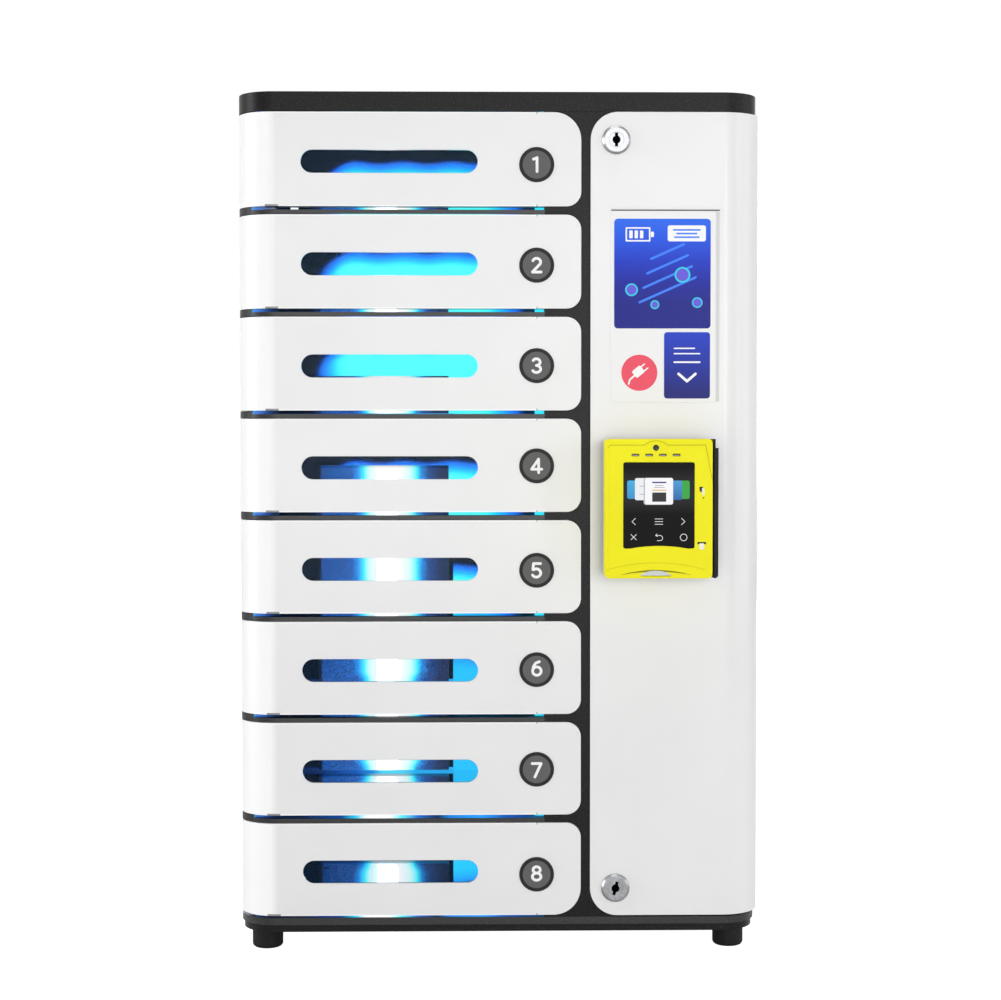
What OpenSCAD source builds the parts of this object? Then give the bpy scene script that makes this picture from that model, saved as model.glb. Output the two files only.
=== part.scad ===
// Phone charging locker. Eight doors wrap the left front corner and turn on one
// upright rod, a wide service door wraps the right corner and carries two cam
// locks and a card terminal, and a black sheet-steel cabinet stands on four feet.
// Millimetres. X points right, Y to the back and Z up. The origin is on the
// floor, in the middle of the whole outline. Inside the modules y is measured
// from the plane of the door faces, and front_y moves the finished piece.

/* [Cabinet] */
// Width of the black cabinet, without its white skins
cabinet_w = 494; // [480:1:540]
// Depth from the plane of the door faces to the rear rim
cabinet_d = 275; // [250:1:330]
// Radius of the upright front corners, seen from above
corner_r = 35; // [30:0.5:38]
// Thickness of the folded steel sheet
sheet_t = 2; // [1.5:0.1:2.4]
// How far the white skins stand out from the cabinet
skin_proud = 3; // [2.6:0.1:4]
// Height of the top cap's rim
cap_h = 18.3; // [14:0.1:26]
// Height of the base pan's rim
pan_h = 7; // [6:0.1:14]
// Width of the hem that turns inwards under the base pan
pan_hem = 14; // [8:0.5:20]
// Height of the base plate
plate_h = 7; // [5:0.1:12]
// How far the base plate is set in from the rim
plate_inset = 2; // [0.5:0.1:4]
// How far the rear return of a side panel reaches over the back
rear_lap = 10; // [6:0.5:14]

/* [Doors] */
// Number of doors
door_count = 8; // [7:1:9]
// Height of a door
door_h = 88.2; // [84:0.1:110]
// Gap between a door's edge and the black frame
door_gap = 0.7; // [0.5:0.1:1]
// Height of the lit slit under a door
slit_h = 3.3; // [2:0.1:5]
// Height of a shelf's front hem
bar_h = 3.8; // [3:0.1:8]
// Gap under the lowest door
base_slit = 2; // [1:0.1:4]
// Wall of a door
door_wall = 2; // [1.5:0.1:2.5]
// Depth of the flange round a door
flange_d = 14; // [10:0.5:16]
// Room between a door's flange and what lies behind it
flange_room = 2; // [1.5:0.1:4]
// Radius of a door's corners at its free end
door_r = 14; // [8:0.5:18]
// Radius of the outermost corners of the row of doors
end_r = 26; // [18:0.5:30]

/* [Hinges] */
// Radius of the upright hinge rods
rod_r = 2.5; // [2:0.1:3]
// Radial play of a door on its rod
rod_play = 0.06; // [0.03:0.01:0.1]
// Distance of a rod's axis from the cabinet's side
hinge_in = 5.5; // [5:0.1:6.5]
// Distance of a rod's axis behind the door faces
hinge_back = 56; // [50:0.5:62]
// Radius of the bosses that hold the rods' ends
boss_r = 5; // [4.5:0.1:6]
// Free room behind a door's barrel for its swing
swing_gap = 3; // [2.5:0.1:5]

/* [Windows and badges] */
// Length of a door's window opening
window_w = 166.6; // [100:0.1:180]
// Height of a door's window opening
window_h = 21.8; // [14:0.1:30]
// Middle of the window, from the cabinet's left side
window_x = 144.2; // [130:0.1:150]
// How far the window lies below the door's middle
window_drop = 2.2; // [0:0.1:6]
// Rim of the clear sheet behind the window
window_rim = 6; // [4:0.1:8]
// Thickness of the clear sheet
window_t = 1.5; // [1:0.1:3]
// How far the clear step in the opening lies behind the door's face
window_sink = 0.6; // [0.3:0.1:1]
// Play of the clear step in the opening
window_play = 0.3; // [0.1:0.05:0.5]
// Diameter of a number badge
badge_d = 33; // [24:0.1:36]
// Thickness of a number badge
badge_t = 0.8; // [0.5:0.1:1.5]
// Middle of the badge, from the door's free edge
badge_in = 42; // [30:0.1:50]
// How far each badge, set by hand, lies below its door's middle
badge_drops = [5.1, 3.4, 1.9, 0.5, 3.4, 1.8, 0.8, 5.2]; // [0:0.1:6]

/* [Inside] */
// Gap between the doors' barrels and the hinge wall
barrel_gap = 1.5; // [1:0.1:4]
// Width of a lamp unit
lamp_w = 140; // [80:1:160]
// Height of a lamp unit
lamp_h = 40; // [24:0.5:50]
// Depth of a lamp unit
lamp_d = 18; // [12:0.5:34]
// Gap under a lamp unit
lamp_up = 3.5; // [1:0.5:12]
// Middle of the lamp unit, from the cabinet's left side
lamp_x = 127.5; // [110:0.5:150]
// Bevel along a lamp unit's upper front edge
lamp_bevel = 3; // [1:0.5:12]
// Width of a lamp's lens
lens_w = 25; // [16:1:40]
// Thickness of the lens, in front of the lamp unit
lens_t = 3; // [2:0.5:6]
// How far the lens lies right of the lamp unit's middle
lens_right = 2.5; // [0:0.1:10]
// Radius of the corners of the lens
lens_r = 5; // [1:0.5:10]
// Rim of the lamp unit's front above and below the lens
lens_edge = 0.5; // [0.5:0.5:4]
// Radius of a cable hole in the divider
cable_hole_r = 7; // [5:0.5:10]
// Distance of the cable holes from the back panel
cable_back = 60; // [30:1:120]
// Height of the cable holes above the compartments' floors
cable_up = 66; // [50:0.5:70]

/* [Latches] */
// How far the latch post reaches under the doors
post_reach = 34.4; // [33:0.1:44]
// Play of a door in its pocket
pocket_play = 0.5; // [0.4:0.1:0.7]
// Distance of the striker tab from the door's free edge
striker_in = 16; // [14:0.5:20]
// Thickness of the striker tab
striker_t = 2; // [1.5:0.1:2.5]
// Rim of the striker tab round its eye
eye_rim = 4; // [2.5:0.1:5]
// Room for the striker tab's swing in the post's slot
tab_swing = 3.5; // [3:0.1:5]
// Room on the other sides of the slot
tab_play = 1.5; // [1:0.1:3]
// Width of the latch bolt, a square bar
bolt_w = 8; // [6:0.1:9]
// Length of the latch bolt
bolt_l = 22.5; // [18:0.5:24]
// How far the withdrawn bolt stands out of its body
bolt_out = 4.5; // [3:0.1:6]
// Room around the bolt in the striker's eye
eye_play = 0.75; // [0.5:0.05:1.2]
// Room between the bolt and its guide
guide_play = 0.3; // [0.2:0.05:0.4]
// Gap between the withdrawn bolt and the striker
bolt_gap = 1.5; // [1:0.1:3]
// Width of a latch body
latch_w = 30; // [26:0.5:30]
// Depth of a latch body
latch_d = 24; // [20:0.5:30]
// Height of a latch body
latch_h = 20; // [16:0.5:21]

/* [Service door] */
// Width of the service door over its wrapped side
service_w = 163.3; // [150:0.1:175]
// Visible width of the black mullion beside the doors
mullion_w = 8.7; // [6:0.1:14]
// How far the service door laps over the latch post
post_lap = 12; // [8:0.1:14]
// Gap between the service door and the post behind it
lap_gap = 0.3; // [0.2:0.1:0.6]
// Gap between the terminal or a lock and its hole in the service door
hole_play = 0.3; // [0.1:0.05:0.6]
// Distance of a lock from the service door's free edge
lock_in = 24; // [22:0.1:26]
// Distance of a lock from the service door's ends
lock_end = 26.4; // [25.4:0.1:27.4]
// Width of a lock's nut over its corners
nut_w = 24; // [22:0.1:24.5]
// Thickness of a lock's nut
nut_t = 4; // [2:0.5:8]
// Diameter of a lock's head
lock_head_d = 27; // [22:0.1:30]
// Height of a lock's head
lock_head_t = 3.5; // [2:0.1:5]
// Radius of a lock's barrel
lock_barrel_r = 9.5; // [8:0.1:9.9]
// Radius of the turning cylinder
cylinder_r = 7; // [5.5:0.1:7.4]
// Radial play of the cylinder
cylinder_play = 0.06; // [0.03:0.01:0.1]
// Bevel round a lock's head
lock_bevel = 2; // [0.5:0.1:3]
// How far the cylinder's face lies behind the head's
cylinder_sink = 0.3; // [0.1:0.1:1]
// Radius of the keyhole
keyhole_r = 3.8; // [2.5:0.1:4.5]
// Width of the keyway
keyway_w = 3; // [1.5:0.1:4]
// Height of the keyway
keyway_h = 13; // [9:0.1:13.5]
// Depth of the keyway
keyway_d = 8; // [4:0.5:14]
// Length of a cam from its axis to its tip
cam_l = 24; // [20:0.5:24.5]
// Width of a cam
cam_w = 12; // [10:0.1:12]
// Thickness of a cam
cam_t = 2.5; // [1.5:0.1:3]
// Gap between the cam and the post's rear face
cam_gap = 0.5; // [0.4:0.1:1]

/* [Sign] */
// Width of the sign plate
sign_w = 98.8; // [60:0.1:120]
// Height of the sign plate
sign_h = 180.3; // [100:0.1:200]
// Thickness of the sign plate
sign_t = 1; // [0.6:0.1:2]
// Radius of the sign plate's corners
sign_r = 3.8; // [1:0.1:10]
// Middle of the sign, from the service door's free edge
sign_in = 68.5; // [66:0.1:72]
// Height of the sign's middle above the middle of the service door
sign_up = 197.3; // [180:0.1:220]

/* [Card terminal] */
// Width of the yellow cover
cover_w = 99.7; // [90:0.1:110]
// Height of the yellow cover
cover_h = 129.4; // [115:0.1:150]
// Depth of the whole terminal in front of the service door
terminal_d = 38; // [30:0.5:50]
// Depth of the yellow cover
cover_d = 24; // [18:0.5:28]
// Corner radius of the yellow cover
cover_r = 4; // [2:0.5:10]
// Middle of the cover, from the service door's free edge
terminal_in = 61.2; // [58:0.1:64]
// Height of the terminal's middle above the middle of the service door
terminal_up = 8.3; // [-20:0.1:20]
// Height of the raised field on the cover's face
field_step = 0.8; // [0.4:0.1:1.2]
// Distance of the field from the cover's left edge
field_side = 3.4; // [2:0.1:6]
// Distance of the field from the cover's upper edge
field_drop = 6.3; // [5.5:0.1:8]
// Width of the field's hump round the sensor
hump_w = 21; // [16:0.1:26]
// Height of the hump
hump_h = 4; // [3:0.1:4.2]
// Width of the slant at the field's upper right corner
slant_w = 7; // [4:0.1:10]
// Height of the slant
slant_h = 36; // [20:0.5:50]
// Radius of the arch in the field's lower edge
field_arch_r = 166; // [150:1:240]
// Height of the arch's middle above the cover's lower edge
field_low = 15; // [13:0.1:16]
// Width of the swipe rail
rail_w = 4.5; // [3.5:0.1:6]
// Width of the swipe slot
swipe_w = 1.2; // [1:0.1:2]
// Depth of the swipe slot
swipe_d = 9; // [6:0.5:12]
// How far the swipe rail's face lies behind the cover's
rail_set = 2; // [0:0.1:4]
// Width of the notch and of the bevel at the rail's ends
rail_notch = 1.8; // [1:0.1:2.5]
// Height of the notch at the rail's upper end
rail_drop = 8.5; // [6:0.1:14]
// Depth of the web that carries the rail
housing_t = 6; // [4:0.5:10]
// How far the black housing is set in behind the cover
housing_inset = 2; // [1:0.1:4]
// Width of the housing's rear part inside the service door
rear_w = 88; // [70:1:90]
// Height of the housing's rear part
rear_h = 100; // [80:1:112]
// Depth of the housing's rear part behind the door's plane
rear_d = 20; // [8:1:24]
// Width of the touch screen
screen_w = 66.4; // [56:0.1:74]
// Height of the touch screen
screen_h = 80.2; // [60:0.1:84]
// Height of the screen's middle above the cover's middle
screen_up = 3.1; // [0:0.1:6]
// Depth of the screen's recess
screen_sink = 1.6; // [1:0.1:3]
// Thickness of the screen's glass
screen_t = 1.2; // [0.8:0.1:2]
// Play of the screen in its recess
screen_play = 0.2; // [0.1:0.05:0.4]
// Radius of the screen's corners
screen_r = 2; // [0.5:0.1:4]
// Radius of the arch in the screen's lower edge
arch_r = 150; // [120:1:260]
// Rise of the arch over the screen's lower corners
arch_rise = 2.4; // [1:0.1:3]
// How far the lights, the sensor and the card mouth lie left of the cover's middle
lights_left = 2.8; // [0:0.1:6]
// Lights in the row above the screen
light_count = 4; // [2:1:4]
// Distance between the lights
light_pitch = 12.7; // [10:0.1:15]
// Width of a light's slot
light_w = 7.4; // [4:0.1:9]
// Height of a light's slot
light_h = 2.6; // [1.5:0.1:4]
// Depth of a light's slot
light_sink = 1; // [0.4:0.1:2]
// Distance of the lights from the cover's upper edge
light_drop = 14.9; // [13:0.1:16]
// Radius of the sensor's hole
sensor_r = 2.9; // [1.5:0.1:3.5]
// Depth of the sensor's hole
sensor_sink = 3; // [1:0.1:6]
// Distance of the sensor from the cover's upper edge
sensor_drop = 8.2; // [6:0.1:9]
// Width of the scoop round the card mouth
mouth_w = 68; // [60:0.1:80]
// Height of the card mouth's slot
mouth_h = 2; // [1.5:0.1:2.6]
// Depth of the card mouth
mouth_d = 14; // [8:0.5:18]
// Height of the mouth above the cover's lower edge
mouth_up = 4.4; // [4:0.1:5]
// Radius of the scoop's upper edge
scoop_r = 118; // [100:1:160]
// Height of the scoop in its middle
scoop_h = 7.9; // [7.5:0.1:9]
// Depth of the scoop
scoop_sink = 1.5; // [0.5:0.1:3]
// Width of the finger notch in the mouth
finger_w = 30.1; // [20:0.1:40]
// Height of the finger notch
finger_h = 5.1; // [3:0.1:6]
// Depth of the finger notch
finger_d = 4; // [2:0.1:8]

/* [Feet and bolt holes] */
// Height of a foot below the base plate
foot_h = 22; // [10:0.5:40]
// Diameter of a foot
foot_d = 29.5; // [20:0.5:34]
// Radius of a foot's lower edge
foot_edge_r = 4; // [2:0.5:6]
// Distance of a foot's axis from the cabinet's side
foot_side = 23.8; // [22:0.1:40]
// Distance of a foot's axis from the front and from the rear
foot_end = 38; // [36:0.5:50]
// Radius of the holes for wall and stand bolts
bolt_hole_r = 4.25; // [3:0.05:5]
// Distance of the wall holes from the cabinet's sides
wall_hole_side = 32; // [30:0.5:36]
// Distance of the wall holes from the ends of the row of doors
wall_hole_end = 60.1; // [50:0.1:70]
// Distance of the stand holes from the cabinet's sides
stand_hole_side = 67; // [60:0.5:90]
// Distance of the stand holes from the front and from the rear
stand_hole_end = 57.5; // [50:0.5:80]

/* [Electronics] */
// Length of a vent slot
vent_l = 56; // [30:1:64]
// Width of a vent slot
vent_w = 4; // [2:0.1:5]
// Distance between vent slots
vent_pitch = 11; // [9:0.5:16]
// Vent slots in a column
vent_rows = 9; // [3:1:12]
// Gap between the two columns of vent slots
vent_gap = 8; // [4:0.5:14]
// Width of the power supply
supply_w = 115; // [90:1:118]
// Height of the power supply
supply_h = 215; // [150:1:220]
// Depth of the power supply
supply_d = 50; // [30:1:60]
// Wall beside the power supply's wiring recess
supply_cheek = 6; // [3:0.5:10]
// Height of the wiring recess
wiring_h = 17; // [10:0.5:24]
// Width of the controller board
board_w = 110; // [90:1:118]
// Height of the controller board
board_h = 170; // [120:1:180]
// Thickness of the controller board
board_t = 1.6; // [1:0.1:2.4]
// Height of the board's standoffs
standoff_h = 8; // [5:0.5:12]
// Radius of a standoff
standoff_r = 3; // [2:0.1:4]
// Distance of a standoff's axis from the board's edges
standoff_in = 5; // [4.5:0.1:8]
// Depth of the board's plugs and of its relay
plug_d = 10; // [6:0.5:14]
// Width of a plug
plug_w = 12; // [8:0.5:16]
// Height of a plug
plug_h = 8; // [5:0.5:9]
// Width of the processor, and of the relay, which is twice as high
chip_w = 24; // [14:0.5:28]
// Thickness of the processor
chip_t = 2.5; // [1:0.1:4]
// Upright gap between the socket, the supply, the board and the vents
bay_gap = 40; // [20:1:44]
// Width of the power socket's flange
socket_w = 50; // [44:0.5:60]
// Height of the power socket's flange
socket_h = 28; // [26:0.5:34]
// Width of the socket's cavity
socket_cavity_w = 24.6; // [20:0.1:28]
// Height of the socket's cavity
socket_cavity_h = 17; // [14:0.1:19]
// Wall round the socket's cavity
socket_wall = 2.6; // [1.6:0.1:3.4]
// Radius of the corners of the socket's flange and cavity
socket_r = 2; // [1:0.1:3]
// Depth of the socket's body inside the cabinet
socket_d = 20; // [16:0.5:26]
// Distance of the socket's middle from the cabinet's side
socket_in = 56; // [44:0.5:80]
// Height of the socket's middle above the floor of the cabinet
socket_up = 14; // [14:0.5:34]

/* [Hidden] */
$fn = 96;
cut = 1;
half_w = cabinet_w / 2;
skin_w = half_w + skin_proud;
front_y = (skin_proud + terminal_d - cabinet_d) / 2;
arc_x = half_w - corner_r;

pan_z = foot_h + plate_h;
floor_z = pan_z + pan_h;
doors_z = floor_z + base_slit;
door_pitch = door_h + slit_h + bar_h + door_gap;
doors_top = doors_z + (door_count - 1) * door_pitch + door_h;
cap_z = doors_top + door_gap;
top_z = cap_z + cap_h;
ceiling_z = top_z - sheet_t;
doors_mid = (doors_z + doors_top) / 2;
back_y = cabinet_d - 2 * sheet_t;
post_d = flange_d + flange_room + sheet_t;
hinge_side_w = 2 * hinge_in + barrel_gap + sheet_t;
wall_setback = flange_d + flange_room / 2;

service_x = skin_w - service_w;
door_x = service_x - mullion_w;
bay_x = door_x - post_reach;
post_x = service_x + post_lap;
store_x = -half_w + hinge_side_w;
hinge_x = half_w - hinge_in;
barrel_r = hinge_in;
service_barrel_r = hinge_in + skin_proud;
rod_hole_r = rod_r + rod_play;
left_panel_y = hinge_back + barrel_r + swing_gap;
right_panel_y = hinge_back + service_barrel_r + swing_gap;

window_mid_x = -half_w + window_x;
badge_x = door_x - badge_in;
lamp_mid_x = -half_w + lamp_x;
striker_x = door_x - striker_in;
eye_w = bolt_w + 2 * eye_play;
tab_h = eye_w + 2 * eye_rim;
bolt_back = post_d + latch_d / 2;
striker_end = bolt_back + eye_w / 2 + eye_rim;
bolt_x = striker_x + bolt_gap;
latch_x = bolt_x + bolt_out;

lock_x = service_x + lock_in;
terminal_x = service_x + terminal_in;
terminal_z = doors_mid + terminal_up;
terminal_front = -skin_proud - terminal_d;
cover_back = terminal_front + cover_d;
bay_mid_x = (bay_x + half_w) / 2;
socket_x = half_w - socket_in;
socket_z = floor_z + socket_up;
socket_w_in = socket_cavity_w + 2 * socket_wall;
socket_h_in = socket_cavity_h + 2 * socket_wall;
supply_z = socket_z + bay_gap;
board_z = supply_z + supply_h + bay_gap;
vent_z = board_z + board_h + bay_gap;
wall_hole_w = cabinet_w - 2 * wall_hole_side;
wall_hole_h = doors_top - doors_z - 2 * wall_hole_end;
stand_hole_w = cabinet_w - 2 * stand_hole_side;
stand_hole_d = cabinet_d - 2 * stand_hole_end;

// Height of door i's lower edge; door 1 is the highest.
function door_z(i) = doors_z + (door_count - i) * door_pitch;

// Height of the middle of door i.
function door_mid(i) = door_z(i) + door_h / 2;

// Height of the floor that compartment i's things lie on.
function store_z(i) = i == door_count ? floor_z : door_z(i) - slit_h;

// A finished piece at its place in the row frame.
module placed() {
    translate([0, front_y, 0]) children();
}

// A shape seen from above, made h high from height z.
module upright(z, h) {
    translate([0, 0, z]) linear_extrude(height = h) children();
}

// A shape seen from the front, made d deep from depth y.
module facing(y, d) {
    translate([0, y + d, 0]) rotate([90, 0, 0]) linear_extrude(height = d) children();
}

// The cabinet seen from above: round front corners and square rear ones.
module cabinet_plan(inset) {
    half = half_w - inset;
    translate([-half, corner_r]) square([2 * half, cabinet_d - corner_r - inset]);
    translate([-arc_x, inset]) square([2 * arc_x, corner_r]);
    for (side = [-1, 1]) translate([side * arc_x, corner_r]) circle(corner_r - inset);
}

// A pill with its middle at the origin.
module pill(w, h) {
    square([w - h, h], center = true);
    for (side = [-1, 1]) translate([side * (w - h) / 2, 0]) circle(h / 2);
}

// A rectangle with its middle at the origin and round corners.
module round_rect(w, h, r) {
    square([w - 2 * r, h], center = true);
    square([w, h - 2 * r], center = true);
    for (sx = [-1, 1], sy = [-1, 1]) translate([sx * (w / 2 - r), sy * (h / 2 - r)]) circle(r);
}

// What a round corner takes off a square one; the corner points up and right.
module corner_waste(r) {
    difference() {
        translate([-r, -r]) square([r + cut, r + cut]);
        translate([-r, -r]) circle(r);
    }
}

// A door's outline seen from the front, round at its free end.
module door_front(x0, x1, z0, z1, r_low, r_high) {
    difference() {
        translate([x0, z0]) square([x1 - x0, z1 - z0]);
        translate([x1, z1]) corner_waste(r_high);
        translate([x1, z0]) mirror([0, 1]) corner_waste(r_low);
    }
}

// Both rods' places, seen from above.
module at_rods() {
    for (side = [-1, 1]) translate([side * hinge_x, hinge_back]) children();
}

// The four stand holes, seen from above.
module stand_holes() {
    for (sx = [-1, 1], sy = [-1, 1])
        translate([sx * stand_hole_w / 2, cabinet_d / 2 + sy * stand_hole_d / 2]) circle(bolt_hole_r);
}

module top_cap() {
    color("#2f3033") difference() {
        union() {
            difference() {
                upright(cap_z, cap_h) cabinet_plan(0);
                upright(cap_z - cut, cap_h - sheet_t + cut) cabinet_plan(sheet_t);
            }
            upright(cap_z, cap_h - sheet_t / 2) at_rods() circle(boss_r);
        }
        upright(cap_z - cut, ceiling_z - cap_z + cut) at_rods() circle(rod_hole_r);
    }
}

module base_pan() {
    color("#2f3033") difference() {
        union() {
            difference() {
                upright(pan_z, pan_h) cabinet_plan(0);
                upright(pan_z + sheet_t, pan_h - 2 * sheet_t) cabinet_plan(sheet_t);
                upright(pan_z - cut, sheet_t + 2 * cut) cabinet_plan(pan_hem);
            }
            upright(pan_z + sheet_t / 2, pan_h - sheet_t) at_rods() circle(boss_r);
        }
        upright(pan_z + sheet_t, pan_h) at_rods() circle(rod_hole_r);
        upright(pan_z - cut, pan_h + 2 * cut) stand_holes();
    }
}

module base_plate() {
    color("#292a2c") difference() {
        upright(foot_h, plate_h) cabinet_plan(plate_inset);
        upright(foot_h - cut, plate_h - sheet_t + cut) cabinet_plan(plate_inset + sheet_t);
        upright(foot_h, plate_h + cut) stand_holes();
    }
}

module back_panel() {
    color("#303134") facing(back_y, sheet_t) difference() {
        translate([-half_w + sheet_t, floor_z]) square([cabinet_w - 2 * sheet_t, ceiling_z - floor_z]);
        for (sx = [-1, 1], sz = [-1, 1])
            translate([sx * wall_hole_w / 2, doors_mid + sz * wall_hole_h / 2]) circle(bolt_hole_r);
        for (side = [-1, 1], row = [0:vent_rows - 1])
            translate([bay_mid_x + side * (vent_l + vent_gap) / 2, vent_z + row * vent_pitch])
                pill(vent_l, vent_w);
        translate([socket_x - socket_w_in / 2, floor_z - cut])
            square([socket_w_in, socket_up + socket_h_in / 2 + cut]);
    }
}

// A white skin with a front return towards the cabinet and a rear one over the back.
module side_panel(panel_y, return_x) {
    color("#eeeeee") upright(floor_z + door_gap, cap_z - floor_z - 2 * door_gap) {
        translate([skin_w - sheet_t, panel_y]) square([sheet_t, cabinet_d - panel_y]);
        translate([return_x, panel_y]) square([skin_w - return_x, sheet_t]);
        translate([skin_w - sheet_t - rear_lap, cabinet_d - sheet_t]) square([rear_lap + sheet_t, sheet_t]);
    }
}

module left_side_panel() {
    mirror([1, 0, 0]) side_panel(left_panel_y, half_w - hinge_side_w + sheet_t);
}

module right_side_panel() {
    side_panel(right_panel_y, hinge_x - service_barrel_r);
}

module hinge_post() {
    lobe_h = door_pitch - door_h - 2 * door_gap;
    color("#2f3033") {
        upright(floor_z, ceiling_z - floor_z)
            translate([store_x - sheet_t, wall_setback]) square([sheet_t, back_y - wall_setback]);
        for (i = [1:door_count - 1])
            upright(door_z(i) - door_gap - lobe_h, lobe_h) difference() {
                intersection() {
                    cabinet_plan(0);
                    translate([-half_w, 0]) square([hinge_side_w, hinge_back + barrel_r]);
                }
                at_rods() circle(rod_hole_r);
            }
    }
}

// A slot for a striker tab, seen from the front; the tab's right face is at x 0.
module striker_slot() {
    translate([-striker_t - tab_swing, -tab_h / 2 - tab_play])
        square([striker_t + tab_swing + tab_play, tab_h + 2 * tab_play]);
}

module latch_post() {
    color("#2f3033") difference() {
        translate([bay_x, 0, floor_z]) cube([post_x - bay_x, post_d, cap_z - floor_z]);
        for (i = [1:door_count]) {
            facing(-cut, post_d - sheet_t + cut)
                door_front(bay_x - cut, door_x + pocket_play,
                           door_z(i) - door_gap, door_z(i) + door_h + door_gap,
                           door_low_r(i) + pocket_play, door_high_r(i) + pocket_play);
            facing(post_d - sheet_t - cut, sheet_t + 2 * cut)
                translate([striker_x, door_mid(i)]) striker_slot();
        }
    }
}

module divider() {
    color("#3a3b3e") difference() {
        translate([bay_x, post_d, floor_z]) cube([sheet_t, back_y - post_d, ceiling_z - floor_z]);
        for (i = [1:door_count]) translate([bay_x - cut, back_y - cable_back, store_z(i) + cable_up])
            rotate([0, 90, 0]) cylinder(r = cable_hole_r, h = sheet_t + 2 * cut);
    }
}

// The part of the cabinet's inside, seen from above, that the shelves fill.
module store_plan() {
    intersection() {
        cabinet_plan(0);
        translate([store_x, 0]) square([bay_x - store_x, back_y]);
    }
}

module shelves() {
    color("#2b2c2e") for (i = [1:door_count - 1]) {
        upright(store_z(i) - sheet_t, sheet_t) store_plan();
        upright(store_z(i) - bar_h, bar_h) difference() {
            store_plan();
            cabinet_plan(sheet_t);
        }
    }
}

module hinge_rods() {
    color("#b9bcc0") upright(pan_z + sheet_t, ceiling_z - pan_z - sheet_t - cut) at_rods() circle(rod_r);
}

module lamp_units() {
    color("#2c4a78") for (i = [1:door_count])
        translate([lamp_mid_x - lamp_w / 2, back_y, store_z(i) + lamp_up])
            rotate([90, 0, 90]) linear_extrude(height = lamp_w)
                polygon([[0, 0], [-lamp_d, 0], [-lamp_d, lamp_h - lamp_bevel], [lamp_bevel - lamp_d, lamp_h],
                         [0, lamp_h]]);
}

module lamp_lenses() {
    lens_h = lamp_h - lamp_bevel - 2 * lens_edge;
    color("#bff4ff") for (i = [1:door_count])
        facing(back_y - lamp_d - lens_t, lens_t)
            translate([lamp_mid_x + lens_right, store_z(i) + lamp_up + lens_edge + lens_h / 2])
                round_rect(lens_w, lens_h, lens_r);
}

module latch_bodies() {
    guide = bolt_w + 2 * guide_play;
    color("#9b9ea3") for (i = [1:door_count]) difference() {
        translate([latch_x, post_d, door_mid(i) - latch_h / 2]) cube([latch_w, latch_d, latch_h]);
        translate([latch_x - cut, bolt_back - guide / 2, door_mid(i) - guide / 2])
            cube([bolt_l - bolt_out + 2 * cut, guide, guide]);
    }
}

// A latch bolt, withdrawn: its bevelled tip points to the striker.
module latch_bolt(i) {
    bevel = bolt_w / 3;
    color("#d0d2d5") upright(door_mid(i) - bolt_w / 2, bolt_w)
        translate([bolt_x, bolt_back - bolt_w / 2])
            polygon([[bevel, 0], [bolt_l, 0], [bolt_l, bolt_w], [0, bolt_w], [0, bolt_w - bevel]]);
}

module feet() {
    color("#1d1d1f") for (sx = [-1, 1], sy = [-1, 1])
        translate([sx * (half_w - foot_side), cabinet_d / 2 + sy * (cabinet_d / 2 - foot_end), 0])
            rotate_extrude() {
                square([foot_d / 2 - foot_edge_r, foot_h + plate_h - sheet_t]);
                translate([0, foot_edge_r]) square([foot_d / 2, foot_h + plate_h - sheet_t - foot_edge_r]);
                translate([foot_d / 2 - foot_edge_r, foot_edge_r]) circle(foot_edge_r);
            }
}

module power_supply() {
    color("#a9adb1") difference() {
        translate([bay_mid_x - supply_w / 2, back_y - supply_d, supply_z])
            cube([supply_w, supply_d, supply_h]);
        translate([bay_mid_x - supply_w / 2 + supply_cheek, back_y - supply_d - cut, supply_z - cut])
            cube([supply_w - 2 * supply_cheek, supply_d - 2 * supply_cheek + cut, wiring_h + cut]);
    }
}

// A part on the controller board, raised d from its face, seen from the front.
module on_board(d) {
    facing(back_y - standoff_h - board_t - d, d + board_t / 2) children();
}

module controller_board() {
    color("#1f6b3a") translate([bay_mid_x, 0, board_z]) {
        facing(back_y - standoff_h - board_t, board_t)
            translate([-board_w / 2, 0]) square([board_w, board_h]);
        facing(back_y - standoff_h - board_t / 2, standoff_h + board_t / 2)
            for (sx = [-1, 1], z = [standoff_in, board_h - standoff_in])
                translate([sx * (board_w / 2 - standoff_in), z]) circle(standoff_r);
        on_board(plug_d) for (i = [1:door_count])
            translate([standoff_in - board_w / 2, board_h * i / (door_count + 1)])
                square([plug_w, plug_h]);
        on_board(chip_t) translate([0, board_h / 2]) square([chip_w, chip_w], center = true);
        on_board(plug_d) translate([board_w / 4, board_h / 4]) square([chip_w, 2 * chip_w], center = true);
    }
}

module power_inlet() {
    color("#1a1a1c") translate([socket_x, 0, socket_z]) difference() {
        union() {
            facing(back_y + sheet_t, sheet_t) round_rect(socket_w, socket_h, socket_r);
            facing(back_y + sheet_t - socket_d, socket_d + cut)
                square([socket_w_in - 2 * hole_play, socket_h_in - 2 * hole_play], center = true);
        }
        facing(back_y + sheet_t - socket_d + socket_wall, socket_d)
            round_rect(socket_cavity_w, socket_cavity_h, socket_r);
    }
}

// The left front corner seen from above, out to x1: a door's outer form.
module wrap_outline(proud, inset, x1) {
    side_x = -half_w - proud + inset;
    translate([side_x, corner_r]) square([x1 - side_x, hinge_back]);
    translate([-arc_x, inset - proud]) square([x1 + arc_x, hinge_back]);
    translate([-arc_x, corner_r]) circle(corner_r + proud - inset);
}

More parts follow.
